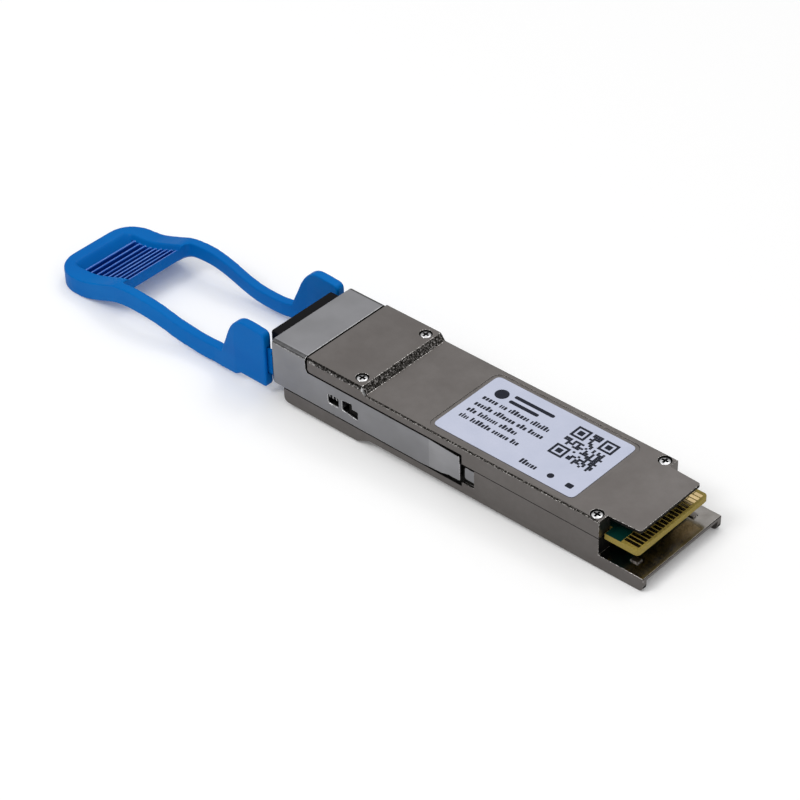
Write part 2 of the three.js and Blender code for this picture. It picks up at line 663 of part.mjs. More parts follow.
function returnSpring(side) {
  const section = new THREE.Shape();
  section.absarc(0, 0, SPRING.wire, 0, 2 * Math.PI);
  return new THREE.ExtrudeGeometry(section, {
    extrudePath: new CoilCurve(SPRING, side),
    steps: SPRING.turns * 10,
    curveSegments: 6,
    bevelEnabled: false,
  });
}

// Cross-section of the slider's folded top, open at the bottom
function sliderTop() {
  const inner = HALF_WIDTH - SHEET;
  const innerTop = SLIDER_TOP_Z - SHEET;
  const low = ARM_TOP_Z - 1.9;
  return prismX([
    [-HALF_WIDTH, low], [-inner, low], [-inner, innerTop, SLIDER_BEND_RADIUS - SHEET],
    [inner, innerTop, SLIDER_BEND_RADIUS - SHEET], [inner, low], [HALF_WIDTH, low],
    [HALF_WIDTH, SLIDER_TOP_Z, SLIDER_BEND_RADIUS],
    [-HALF_WIDTH, SLIDER_TOP_Z, SLIDER_BEND_RADIUS],
  ], 0, SLIDER_TOP_LENGTH, 8);
}

// Side arm: its outline seen from the side, cut from a strip that flares out at the end
function sliderArm(side) {
  const lower = 8.3;
  const sideView = prismY([
    [0, ARM_BOTTOM_Z, 0.3], [31.0, ARM_BOTTOM_Z], [34.6, 1.75], [36.2, 2.2],
    [ARM_END_X, 2.3, 0.3], [ARM_END_X, 5.3], [ARM_END_X - 0.15, 5.5],
    [ARM_END_X - 0.15, ARM_TOP_Z - 0.05, 0.4], [ARM_FLARE_X, ARM_TOP_Z],
    [SLIDER_TOP_LENGTH + 0.35, ARM_TOP_Z], [SLIDER_TOP_LENGTH - 0.05, CHEEK_Z + 0.2],
    [SLIDER_TOP_LENGTH - 0.05, lower], [0, lower],
  ], side > 0 ? 5 : -12, side > 0 ? 12 : -5);
  const inner = HALF_WIDTH - SHEET;
  const strip = prismZ([
    [0, side * inner], [ARM_FLARE_X, side * inner], [ARM_END_X, side * (inner + ARM_FLARE)],
    [ARM_END_X, side * (HALF_WIDTH + ARM_FLARE)], [ARM_FLARE_X, side * HALF_WIDTH],
    [0, side * HALF_WIDTH],
  ], 0, 10);
  return toSolid(sideView).intersect(toSolid(strip));
}

// Forward tang, set inwards from the side wall and moulded into the pull tab's ear
function sliderTang(side) {
  const outer = HALF_WIDTH - TANG_INSET;
  const inner = outer - SHEET;
  const wall = HALF_WIDTH - 0.01;
  const strip = prismZ([
    [-TANG_LENGTH, side * inner], [-0.95, side * inner], [0.1, side * (HALF_WIDTH - SHEET)],
    [0.5, side * (HALF_WIDTH - SHEET)], [0.5, side * wall], [-0.1, side * wall],
    [-1.05, side * outer], [-TANG_LENGTH, side * outer],
  ], TANG_BOTTOM_Z, TANG_TOP_Z);
  const { x0, x1, z0 } = TANG_RELIEF;
  return cut(toSolid(strip), sideBox(side, x0, x1, 7, 10, z0, TANG_TOP_Z + 1));
}

// Tab bent inwards through the side window, pushed by the return spring
function springTab(side) {
  const wall = side * (HALF_WIDTH - 0.05);
  const { x, tipY, z0, z1 } = SPRING_TAB;
  return prismZ([
    [x - 0.3, wall], [x + 0.1, side * tipY], [x + 0.1 + SHEET, side * tipY], [x + 0.1, wall],
  ], z0, z1);
}

function sliderWindows(side) {
  const outer = side > 0 ? 12 : -8;
  const inner = side > 0 ? 8 : -12;
  return [
    prismY([
      [11.65, 3.25, 0.35], [13.83, 3.25, 0.35], [13.83, 4.95, 0.35], [11.65, 4.95, 0.35],
    ], inner, outer),
    prismY([
      [14.6, 3.25, 0.2], [17.8, 2.85, 0.2], [17.8, 4.3, 0.2],
      [16.6, 4.35], [16.6, 5.3, 0.2], [14.6, 5.05, 0.2],
    ], inner, outer),
  ];
}

function latchSlider() {
  const arms = [-1, 1].map(sliderArm);
  const folded = arms.reduce((whole, arm) => whole.add(arm), toSolid(sliderTop()));
  const open = cut(folded, ...[-1, 1].flatMap(sliderWindows));
  return [...bothSides(sliderTang), ...bothSides(springTab).map(toSolid)]
    .reduce((whole, piece) => whole.add(piece), open);
}

// Points along the tab's upper face
const crestCurve = new THREE.SplineCurve(TAB_CREST.map(([x, z]) => new THREE.Vector2(x, z)));
const crestPoints = crestCurve.getPoints(40).map(({ x, y }) => [x, y]);

// Height at a given x on a line of [x, z] points that run towards low X
function heightAlong(line, x) {
  const i = line.findIndex(([px]) => px <= x);
  const [xa, za] = line[i - 1];
  const [xb, zb] = line[i];
  return za + (zb - za) * (x - xa) / (xb - xa);
}

function crestHeight(x) {
  return heightAlong(crestPoints, x);
}

// The tab's lower edge, from the ears to the tip
function undersidePoints() {
  return [...EAR_UNDERSIDE, ...crestPoints.map(([x, z]) => [x, z - TAB_THICKNESS])];
}

// A band that follows the crest between two depths below it
function crestBand(x0, x1, depthTop, depthBottom, halfWidth) {
  const inside = crestPoints.filter(([x]) => x > x0 && x < x1);
  const points = [[x1, crestHeight(x1)], ...inside, [x0, crestHeight(x0)]];
  const upper = points.map(([x, z]) => [x, z - depthTop]);
  const lower = points.map(([x, z]) => [x, z - depthBottom]).reverse();
  return prismY([...upper, ...lower], -halfWidth, halfWidth);
}

// Side view of the whole tab: ears, arms and grip
function tabSideView() {
  const lower = undersidePoints().reverse();
  lower[0] = [...lower[0], 0.9];
  lower.push([...lower.pop(), 0.6]);
  const upper = [...crestPoints];
  const tip = [...upper.pop(), 0.6];
  return prismY([
    [EAR_END_X, 9.5, 1.0], [-7.5, 9.85, 1.9], [-9.5, 7.4, 1.0], [-11.7, 2.3, 0.8],
    ...upper, tip, ...lower,
  ], -12, 12);
}

// Half width of the loop along X: widest at the ears and the grip
const TAB_FLANK = [
  [EAR_END_X, EAR_Y], [-8.5, EAR_Y], [-14.0, TAB_WAIST_Y], [-20.0, TAB_WAIST_Y],
  [-30.0, TAB_HALF_WIDTH],
];

// The loop's inner edge, from the left ear round the window's end to the right ear
function tabInnerEdge() {
  const windowY = TAB_HALF_WIDTH - TAB_ARM_WIDTH;
  const left = TAB_FLANK.map(([x, y]) => [x, y - TAB_ARM_WIDTH]);
  const right = left.map(([x, y]) => [x, -y]).reverse();
  const corner = WINDOW_CORNER;
  return [...left, [WINDOW_END_X, windowY, corner], [WINDOW_END_X, -windowY, corner], ...right];
}

// Plan view of the tab: a loop with a straight end, open towards the module
function tabPlanView() {
  const right = [
    ...TAB_FLANK.map(([x, y]) => [x, -y]), [TAB_TIP_X, -TAB_HALF_WIDTH, TAB_TIP_RADIUS],
  ];
  const left = right.map(([x, y, radius = 0]) => [x, -y, radius]).reverse();
  return prismZ([...right, ...left, ...tabInnerEdge()], -10, 15, 10);
}

// Triangular sections that follow the loop's inner edge, to bevel its underside
function undersideBevel() {
  const margin = 0.3;
  const underside = undersidePoints();
  const isArm = ({ x }) => x < BEVEL_START_X;
  const path = outline(tabInnerEdge()).getPoints(4).flatMap((point, i, all) => {
    const next = all[(i + 1) % all.length];
    const parts = Math.ceil(point.distanceTo(next) / 1.1);
    return Array.from({ length: parts }, (_, k) => point.clone().lerp(next, k / parts));
  }).filter(isArm);
  const sections = path.slice(1, -1).map((point, i) => {
    const along = path[i + 2].clone().sub(path[i]).normalize();
    const outward = new THREE.Vector2(along.y, -along.x);
    const bottom = heightAlong(underside, point.x);
    const inner = point.clone().addScaledVector(outward, -margin);
    const outer = point.clone().addScaledVector(outward, BEVEL + margin);
    return [
      [inner.x, inner.y, bottom - margin], [outer.x, outer.y, bottom - margin],
      [inner.x, inner.y, bottom + BEVEL + margin],
    ];
  });
  const ring = sections.length - 1;
  const index = [0, 1, 2, ring * 3, ring * 3 + 2, ring * 3 + 1];
  for (let i = 0; i < ring; i += 1) {
    for (let k = 0; k < 3; k += 1) {
      const a = i * 3 + k;
      const b = i * 3 + (k + 1) % 3;
      index.push(a, a + 3, b, b, a + 3, b + 3);
    }
  }
  const geometry = new THREE.BufferGeometry();
  const positions = new Float32Array(sections.flat(2));
  geometry.setAttribute('position', new THREE.BufferAttribute(positions, 3));
  geometry.setIndex(index);
  return geometry;
}

function gripRibs() {
  return Array.from({ length: RIBS.count }, (_, i) => {
    const x = RIBS.firstX + i * RIBS.pitch;
    const half = RIBS.width / 2;
    const top = crestHeight(x) - RIBS.drop;
    return centredBox(x - half, x + half, RIBS.halfLength, top - 1.4, top);
  });
}

function pullTab() {
  const loop = toSolid(tabSideView()).intersect(toSolid(tabPlanView()));
  const { x0, x1, halfWidth, floor, underside } = RECESS;
  const tangSlots = bothSides((side) => {
    const outer = HALF_WIDTH - TANG_INSET + 0.1;
    return sideBox(
      side, -TANG_LENGTH - 0.15, 0, outer - SHEET - 0.2, outer,
      TANG_BOTTOM_Z - 0.15, TANG_TOP_Z + 0.15,
    );
  });
  const cleared = cut(
    loop,
    crestBand(x0, x1, -2, floor, halfWidth),
    crestBand(x0, WINDOW_END_X + 0.3, TAB_THICKNESS - underside, TAB_THICKNESS + 2, halfWidth),
    ...tangSlots,
    undersideBevel(),
  );
  return gripRibs().map(toSolid).reduce((whole, rib) => whole.add(rib), cleared);
}

// ---- Assembly -----------------------------------------------------------------------

addPart('base_shell', baseShell(), MATERIALS.castMetal);
addPart('cover_shell', coverShell(), MATERIALS.castMetal);
addPart('label', labelPlate(), MATERIALS.paper);
SCREWS.forEach((screw) => addPart(screw.name, coverScrew(screw), MATERIALS.steel));
addPart('emi_gasket_right', gasket(-1), MATERIALS.gasket);
addPart('emi_gasket_left', gasket(1), MATERIALS.gasket);

addPart('lc_receptacle', receptacle(), MATERIALS.blackPlastic);
const [transmitY, receiveY] = barrelAxes();
addPart('transmit_barrel', barrel(transmitY), MATERIALS.steel);
addPart('receive_barrel', barrel(receiveY), MATERIALS.steel);
addPart('transmit_fibre_stub', fibreStub(transmitY), MATERIALS.zirconia);
addPart('receive_fibre_stub', fibreStub(receiveY), MATERIALS.zirconia);
addPart('barrel_clamp', barrelClamp(), MATERIALS.sheetMetal);
addPart('transmitter_package', opticsPackage(transmitY), MATERIALS.gold);
addPart('receiver_package', opticsPackage(receiveY), MATERIALS.gold);
addPart('transmitter_thermal_pad', opticsPad(transmitY), MATERIALS.thermalPad);
addPart('receiver_thermal_pad', opticsPad(receiveY), MATERIALS.thermalPad);
addPart('transmit_flex_circuit', flexCircuit(transmitY), MATERIALS.polyimide);
addPart('receive_flex_circuit', flexCircuit(receiveY), MATERIALS.polyimide);

addPart('circuit_board', circuitBoard(), MATERIALS.laminate);
COMPONENTS.forEach((item) => addPart(item.name, component(item), MATERIALS[item.look]));
addPart('retimer_thermal_pad', retimerPad(), MATERIALS.thermalPad);

addPart('return_spring_right', returnSpring(-1), MATERIALS.steel);
addPart('return_spring_left', returnSpring(1), MATERIALS.steel);
addPart('latch_slider', latchSlider(), MATERIALS.sheetMetal);
addPart('pull_tab', pullTab(), MATERIALS.bluePlastic);

export default assembly;
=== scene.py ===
"""Looks of a pluggable optical transceiver module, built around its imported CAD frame.

Everything is in metres in the CAD frame: X runs along the module towards its card edge, Y across it,
and Z from the heat-sink face to the label face. The origin lies on the heat-sink face.
"""

import json
import math
import random

import bmesh
import bpy
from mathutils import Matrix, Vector
from mathutils.bvhtree import BVHTree


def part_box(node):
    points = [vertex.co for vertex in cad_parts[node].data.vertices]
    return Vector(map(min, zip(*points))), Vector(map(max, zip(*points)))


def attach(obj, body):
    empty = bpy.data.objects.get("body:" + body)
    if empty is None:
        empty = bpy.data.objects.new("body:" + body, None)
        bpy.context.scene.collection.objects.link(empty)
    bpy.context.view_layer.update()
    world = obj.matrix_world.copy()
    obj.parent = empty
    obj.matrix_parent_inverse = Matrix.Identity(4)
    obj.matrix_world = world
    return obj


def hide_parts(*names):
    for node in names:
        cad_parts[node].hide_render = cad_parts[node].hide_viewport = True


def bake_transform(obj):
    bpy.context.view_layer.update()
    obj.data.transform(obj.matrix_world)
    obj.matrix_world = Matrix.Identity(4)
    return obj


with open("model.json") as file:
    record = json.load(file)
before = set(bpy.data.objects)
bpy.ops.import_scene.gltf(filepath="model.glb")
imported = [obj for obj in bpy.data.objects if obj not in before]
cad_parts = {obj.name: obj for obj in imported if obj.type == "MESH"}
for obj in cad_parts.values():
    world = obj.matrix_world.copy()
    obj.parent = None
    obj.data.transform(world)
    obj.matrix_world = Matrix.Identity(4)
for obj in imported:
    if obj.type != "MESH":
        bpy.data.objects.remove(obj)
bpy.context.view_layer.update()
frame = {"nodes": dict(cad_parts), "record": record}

MM = 0.001
NODES = frame["nodes"]

# ---- Camera -------------------------------------------------------------------------

VIEW_AZIMUTH = math.radians(42.965)
VIEW_ELEVATION = math.radians(37.954)
VIEW_ROLL = math.radians(-1.559)
VIEW_DISTANCE = 399.46 * MM
VIEW_TARGET = Vector((-19.643, -4.567, 6.394)) * MM
SENSOR = 36.0
LENS = 119.25
CLIP_START = 0.01


def make_camera():
    """The camera, at its angle round the object, turned a little about its own line of sight."""
    level = math.cos(VIEW_ELEVATION)
    back = Vector((
        math.sin(VIEW_AZIMUTH) * level, -math.cos(VIEW_AZIMUTH) * level, math.sin(VIEW_ELEVATION),
    ))
    camera = bpy.data.objects.new("camera", bpy.data.cameras.new("camera"))
    bpy.context.scene.collection.objects.link(camera)
    camera.data.sensor_width = SENSOR
    camera.data.lens = LENS
    camera.data.clip_start = CLIP_START
    camera.location = VIEW_TARGET + back * VIEW_DISTANCE
    turn = back.to_track_quat("Z", "Y").to_matrix().to_4x4()
    camera.rotation_euler = turn.to_euler()
    camera.rotation_euler.rotate_axis("Z", VIEW_ROLL)
    bpy.context.scene.camera = camera


make_camera()

# ---- Places taken from the frame ----------------------------------------------------

BASE_HIGH = Vector(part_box("base_shell")[1])
COVER_HIGH = Vector(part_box("cover_shell")[1])
LABEL_LOW, LABEL_HIGH = (Vector(corner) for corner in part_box("label"))
BOARD_LOW, BOARD_HIGH = (Vector(corner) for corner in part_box("circuit_board"))
SPRING_LOW, SPRING_HIGH = (Vector(corner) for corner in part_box("return_spring_right"))

HALF_WIDTH = COVER_HIGH.y
BODY_END_X = 22.3 * MM
LABEL_FACE_Z = 8.5 * MM
STEP_START_X = -23.27 * MM
COVER_FRONT_X = -34.5 * MM
SKIRT_Y = 8.745 * MM
CHEEK_Z = 7.08 * MM
SEAM_Z = 5.4 * MM
FLANGE_TOP_Z = 1.28 * MM
STOP_WALL_X = -1.0 * MM
STOP_FACE_LOW = Vector((-2.9, 8.95, 2.85)) * MM
STOP_FACE_HIGH = Vector((-1.05, 9.1, 5.05)) * MM
TONGUE_TOP_Z = 2.38 * MM

# How far from a plane a point still counts as exactly on it, touching it or beside it
EXACT = 0.001 * MM
TOUCHING = 0.01 * MM
BESIDE = 0.1 * MM

# Foot and height of the rough band below the raised part's long top edges
RAISED_BAND_LOW_Z = 8.9 * MM
RAISED_BAND_HEIGHT = 0.8 * MM

# ---- Shader helpers -----------------------------------------------------------------

# Stops of a ramp that pulls noise apart into mostly 0 and mostly 1
SPREAD = ((0.3, 0.0), (0.7, 1.0))


class Look:
    """A material built of nodes around one Principled shader."""

    def __init__(self, name, **constants):
        self.material = bpy.data.materials.new(name)
        self.material.use_nodes = True
        self.tree = self.material.node_tree
        self.tree.nodes.clear()
        output = self.tree.nodes.new("ShaderNodeOutputMaterial")
        self.shader = self.tree.nodes.new("ShaderNodeBsdfPrincipled")
        self.tree.links.new(self.shader.outputs["BSDF"], output.inputs["Surface"])
        for socket, value in constants.items():
            self.shader.inputs[socket.replace("_", " ")].default_value = value
        self.place = self.add("ShaderNodeTexCoord").outputs["Object"]

    def add(self, kind, **inputs):
        node = self.tree.nodes.new(kind)
        for socket, value in inputs.items():
            self.feed(node.inputs[socket.replace("_", " ")], value)
        return node

    def feed(self, socket, value):
        if isinstance(value, bpy.types.NodeSocket):
            self.tree.links.new(value, socket)
        else:
            socket.default_value = value

    def set(self, socket, value):
        self.feed(self.shader.inputs[socket], value)

    def noise(self, size, detail=2.0, roughness=0.5, place=None):
        """Noise from 0 to 1, with features about as large as size."""
        node = self.add(
            "ShaderNodeTexNoise", Vector=place or self.place, Scale=1 / size, Detail=detail,
            Roughness=roughness,
        )
        return node.outputs["Fac"]

    def cells(self, size):
        """Distance from random points that lie about size apart."""
        node = self.add("ShaderNodeTexVoronoi", Vector=self.place, Scale=1 / size)
        return node.outputs["Distance"]

    def stretched(self, x=1.0, y=1.0, z=1.0):
        """The object's coordinates, scaled differently along each axis."""
        node = self.add("ShaderNodeMapping", Vector=self.place)
        node.inputs["Scale"].default_value = (x, y, z)
        return node.outputs["Vector"]

    def ramp(self, factor, *stops):
        """A value or colour for each stop (position, value), blended in between."""
        node = self.add("ShaderNodeValToRGB", Fac=factor)
        elements = node.color_ramp.elements
        while len(elements) < len(stops):
            elements.new(1.0)
        for element, (position, value) in zip(elements, stops):
            element.position = position
            colour = value if isinstance(value, tuple) else (value, value, value)
            element.color = (*colour, 1.0)
        return node.outputs["Color"]

    def mix(self, factor, a, b):
        node = self.tree.nodes.new("ShaderNodeMix")
        node.data_type = "RGBA"
        self.feed(node.inputs["Factor"], factor)
        for socket, value in (("A", a), ("B", b)):
            colour = (*value, 1.0) if isinstance(value, tuple) else value
            self.feed(next(i for i in node.inputs if i.name == socket and i.type == "RGBA"), colour)
        return next(o for o in node.outputs if o.type == "RGBA")

    def shade(self, noise, dark, light):
        """A colour that noise moves between a dark and a light tone."""
        return self.mix(self.ramp(noise, *SPREAD), dark, light)

    def math(self, operation, a, b=0.0):
        node = self.tree.nodes.new("ShaderNodeMath")
        node.operation = operation
        self.feed(node.inputs[0], a)
        self.feed(node.inputs[1], b)
        return node.outputs[0]

    def axis(self, name):
        node = self.add("ShaderNodeSeparateXYZ", Vector=self.place)
        return node.outputs[name]

    def bump(self, height, depth, strength=1.0):
        node = self.add("ShaderNodeBump", Height=height, Distance=depth, Strength=strength)
        self.set("Normal", node.outputs["Normal"])


# ---- Materials ----------------------------------------------------------------------


def cast_metal():
    """Nickel-plated zinc: satin, faintly mottled, with a fine skin."""
    look = Look("cast_metal", Metallic=1.0)
    clouds = look.noise(7 * MM, detail=3.0)
    blotches = look.ramp(look.noise(1.3 * MM, detail=4.0), (0.35, 0.0), (0.7, 1.0))
    grain = look.noise(0.12 * MM, detail=2.0)
    tone = look.shade(clouds, (0.225, 0.206, 0.197), (0.265, 0.246, 0.237))
    tone = look.mix(look.math("MULTIPLY", blotches, 0.25), tone, (0.18, 0.166, 0.155))
    look.set("Base Color", look.mix(look.math("MULTIPLY", grain, 0.3), tone, (0.14, 0.13, 0.12)))
    look.set("Roughness", look.ramp(clouds, (0.25, 0.3), (0.75, 0.38)))
    look.bump(grain, 0.006 * MM, 0.25)
    return look.material


def cast_bright():
    """The same plating where the casting is smooth and almost mirrors."""
    look = Look("cast_bright", Metallic=1.0)
    clouds = look.noise(2.5 * MM, detail=3.0)
    look.set("Base Color", look.shade(clouds, (0.3, 0.28, 0.26), (0.42, 0.4, 0.38)))
    look.set("Roughness", look.ramp(clouds, (0.3, 0.14), (0.7, 0.22)))
    look.bump(look.noise(2 * MM, detail=2.0), 0.004 * MM, 0.2)
    return look.material


def cast_painted_shade():
    """Painted shade for the casting's joints, gaps and hollows: near-black dull metal with a faint
    mottle.
    """
    look = Look("cast_painted_shade", Metallic=1.0)
    dust = look.noise(0.4 * MM, detail=3.0)
    look.set("Base Color", look.ramp(dust, (0.35, (0.008, 0.008, 0.008)), (0.7, (0.035, 0.033, 0.03))))
    look.set("Roughness", look.ramp(dust, (0.3, 0.55), (0.7, 0.7)))
    look.bump(dust, 0.01 * MM, 0.5)
    return look.material


def cast_edge():
    """The same metal left raw by the tool: dark pits between bright grains."""
    look = Look("cast_edge", Metallic=1.0)
    pits = look.noise(0.3 * MM, detail=3.0, roughness=0.7)
    grains = look.cells(0.22 * MM)
    look.set("Base Color", look.ramp(
        pits, (0.45, (0.02, 0.018, 0.016)), (0.56, (0.16, 0.15, 0.14)), (0.66, (0.75, 0.72, 0.7)),
    ))
    look.set("Roughness", look.ramp(pits, (0.35, 0.5), (0.7, 0.22)))
    look.bump(look.math("SUBTRACT", pits, look.math("MULTIPLY", grains, 0.4)), 0.12 * MM, 1.0)
    return look.material


def cast_band():
    """Chamfers of the casting: rough and dark, with bright specks towards the foot of the raised part's
    as a painted highlight.
    """
    look = Look("cast_band", Metallic=1.0)
    pits = look.noise(0.3 * MM, detail=3.0, roughness=0.7)
    rough = look.ramp(
        pits, (0.46, (0.008, 0.007, 0.006)), (0.56, (0.04, 0.037, 0.034)), (0.68, (0.24, 0.228, 0.216)),
    )
    # Painted highlight: bright specks along the foot of the raised part's chamfer
    painted_glints = look.ramp(
        pits, (0.42, (0.03, 0.028, 0.026)), (0.52, (0.2, 0.19, 0.18)), (0.6, (0.95, 0.92, 0.9)),
    )
    height = look.math("SUBTRACT", look.axis("Z"), RAISED_BAND_LOW_Z)
    share = look.math("DIVIDE", height, RAISED_BAND_HEIGHT)
    foot = look.ramp(share, (0.0, 0.0), (0.05, 1.0), (0.7, 0.0))
    look.set("Base Color", look.mix(foot, rough, painted_glints))
    look.set("Roughness", look.ramp(pits, (0.35, 0.5), (0.7, 0.32)))
    look.bump(pits, 0.05 * MM, 0.8)
    return look.material


def cast_rim_highlight():
    """Worn corners of the casting, lightened with bright grains as a painted highlight along the eased
    edges.
    """
    look = Look("cast_rim_highlight", Metallic=1.0)
    grains = look.noise(0.25 * MM, detail=3.0, roughness=0.7)
    look.set("Base Color", look.ramp(
        grains, (0.42, (0.09, 0.085, 0.08)), (0.52, (0.33, 0.31, 0.29)), (0.6, (0.95, 0.92, 0.9)),
    ))
    look.set("Roughness", look.ramp(grains, (0.4, 0.45), (0.65, 0.2)))
    look.bump(grains, 0.05 * MM, 0.8)
    return look.material


def sheet_steel(name, dark, light):
    """Stainless sheet with a faint rolling grain along the module."""
    look = Look(name, Metallic=1.0)
    rolling = look.noise(0.35 * MM, detail=3.0, place=look.stretched(x=0.05))
    clouds = look.noise(5 * MM)
    tone = look.shade(clouds, dark, light)
    look.set("Base Color", look.mix(look.math("MULTIPLY", rolling, 0.12), tone, (0.27, 0.27, 0.28)))
    look.set("Roughness", look.ramp(rolling, (0.3, 0.3), (0.7, 0.36)))
    look.bump(rolling, 0.003 * MM, 0.15)
    return look.material


def sheet_fold_shade():
    """The sheet where it's folded: stretched grain, dull, and painted darker as painted shade."""
    look = Look("sheet_fold_shade", Metallic=1.0)
    grain = look.noise(0.3 * MM, detail=3.0, place=look.stretched(x=0.3))
    look.set("Base Color", look.ramp(grain, (0.3, (0.08, 0.08, 0.082)), (0.7, (0.14, 0.14, 0.143))))
    look.set("Roughness", look.ramp(grain, (0.35, 0.42), (0.7, 0.34)))
    look.bump(grain, 0.006 * MM, 0.4)
    return look.material


def sheet_cut_highlight():
    """The sheet's blanked edges and tight folds, burnished and speckled, and lightened as a painted
    highlight.
    """
    look = Look("sheet_cut_highlight", Metallic=1.0)
    shear = look.noise(0.2 * MM, detail=3.0, place=look.stretched(x=0.4))
    look.set("Base Color", look.ramp(shear, (0.35, (0.4, 0.4, 0.4)), (0.65, (0.9, 0.9, 0.92))))
    look.set("Roughness", look.ramp(shear, (0.3, 0.2), (0.7, 0.34)))
    look.bump(shear, 0.01 * MM, 0.4)
    return look.material


def blue_plastic(name, dark, light, gloss, low, high):
    """Moulded plastic with a fine spark-eroded skin and slight flow marks."""
    look = Look(name, IOR=1.5, Specular_IOR_Level=gloss)
    flow = look.noise(7 * MM, detail=2.0, place=look.stretched(x=0.4))
    skin = look.noise(0.09 * MM, detail=1.0)
    look.set("Base Color", look.shade(flow, dark, light))
    look.set("Roughness", look.ramp(flow, (0.3, low), (0.7, high)))
    look.bump(skin, 0.004 * MM, 0.25)
    return look.material


def black_plastic():
    """Dull moulded plastic with a fine skin."""
    look = Look("black_plastic", IOR=1.5, Specular_IOR_Level=0.07)
    skin = look.noise(0.1 * MM, detail=2.0)
    patches = look.noise(3 * MM)
    look.set("Base Color", look.mix(patches, (0.004, 0.004, 0.005), (0.009, 0.009, 0.01)))
    look.set("Roughness", look.ramp(patches, (0.3, 0.42), (0.7, 0.55)))
    look.bump(skin, 0.008 * MM, 0.4)
    return look.material


def label_stock():
    """Pale satin film with a barely visible lay."""
    look = Look("label_stock", IOR=1.45, Specular_IOR_Level=0.3)
    clouds = look.noise(4 * MM)
    grain = look.noise(0.15 * MM)
    tone = look.shade(clouds, (0.53, 0.565, 0.7), (0.57, 0.6, 0.735))
    look.set("Base Color", look.mix(look.math("MULTIPLY", grain, 0.1), tone, (0.47, 0.5, 0.6)))
    look.set("Roughness", look.ramp(clouds, (0.3, 0.45), (0.7, 0.55)))
    look.bump(grain, 0.003 * MM, 0.2)
    return look.material


def print_ink():
    """Dark blue-black ink, a little uneven."""
    look = Look("print_ink", IOR=1.45, Specular_IOR_Level=0.25)
    density = look.noise(0.3 * MM, detail=2.0)
    look.set("Base Color", look.ramp(density, (0.3, (0.004, 0.006, 0.014)), (0.75, (0.012, 0.015, 0.03))))
    look.set("Roughness", look.ramp(density, (0.3, 0.4), (0.7, 0.55)))
    return look.material


def plated_steel(name, tone, low, high):
    """Bright turned or stamped metal with slight variation."""
    look = Look(name, Metallic=1.0)
    clouds = look.noise(0.8 * MM, detail=3.0)
    darker = tuple(0.8 * channel for channel in tone)
    look.set("Base Color", look.shade(clouds, darker, tone))
    look.set("Roughness", look.ramp(clouds, (0.3, low), (0.7, high)))
    look.bump(look.noise(0.08 * MM), 0.004 * MM, 0.3)
    return look.material


def board_laminate():
    """Dark green solder mask over the weave of glass laminate."""
    look = Look("board_laminate", IOR=1.5, Specular_IOR_Level=0.3)
    weave = look.noise(0.25 * MM, detail=2.0)
    look.set("Base Color", look.mix(weave, (0.0005, 0.022, 0.018), (0.001, 0.04, 0.031)))
    look.set("Roughness", look.ramp(weave, (0.3, 0.3), (0.7, 0.38)))
    look.bump(weave, 0.006 * MM, 0.3)
    return look.material


def bare_laminate():
    """Milled or unmasked laminate: glass fibres in amber resin."""
    look = Look("bare_laminate", IOR=1.5, Specular_IOR_Level=0.3)
    glass = look.noise(0.12 * MM, detail=3.0, place=look.stretched(x=0.5, y=0.5, z=3.0))
    look.set("Base Color", look.ramp(glass, (0.3, (0.2, 0.145, 0.022)), (0.7, (0.38, 0.29, 0.06))))
    look.set("Roughness", look.ramp(glass, (0.3, 0.5), (0.7, 0.65)))
    look.bump(glass, 0.015 * MM, 0.4)
    return look.material


def soft_solid(name, dark, light, size, roughness):
    """A plain moulded, sintered or cast material with a mottled surface."""
    look = Look(name, IOR=1.45)
    mottle = look.noise(size, detail=3.0)
    vary = 0.06
    look.set("Base Color", look.shade(mottle, dark, light))
    look.set("Roughness", look.ramp(mottle, (0.3, roughness - vary), (0.7, roughness + vary)))
    look.bump(mottle, 0.02 * MM, 0.3)
    return look.material


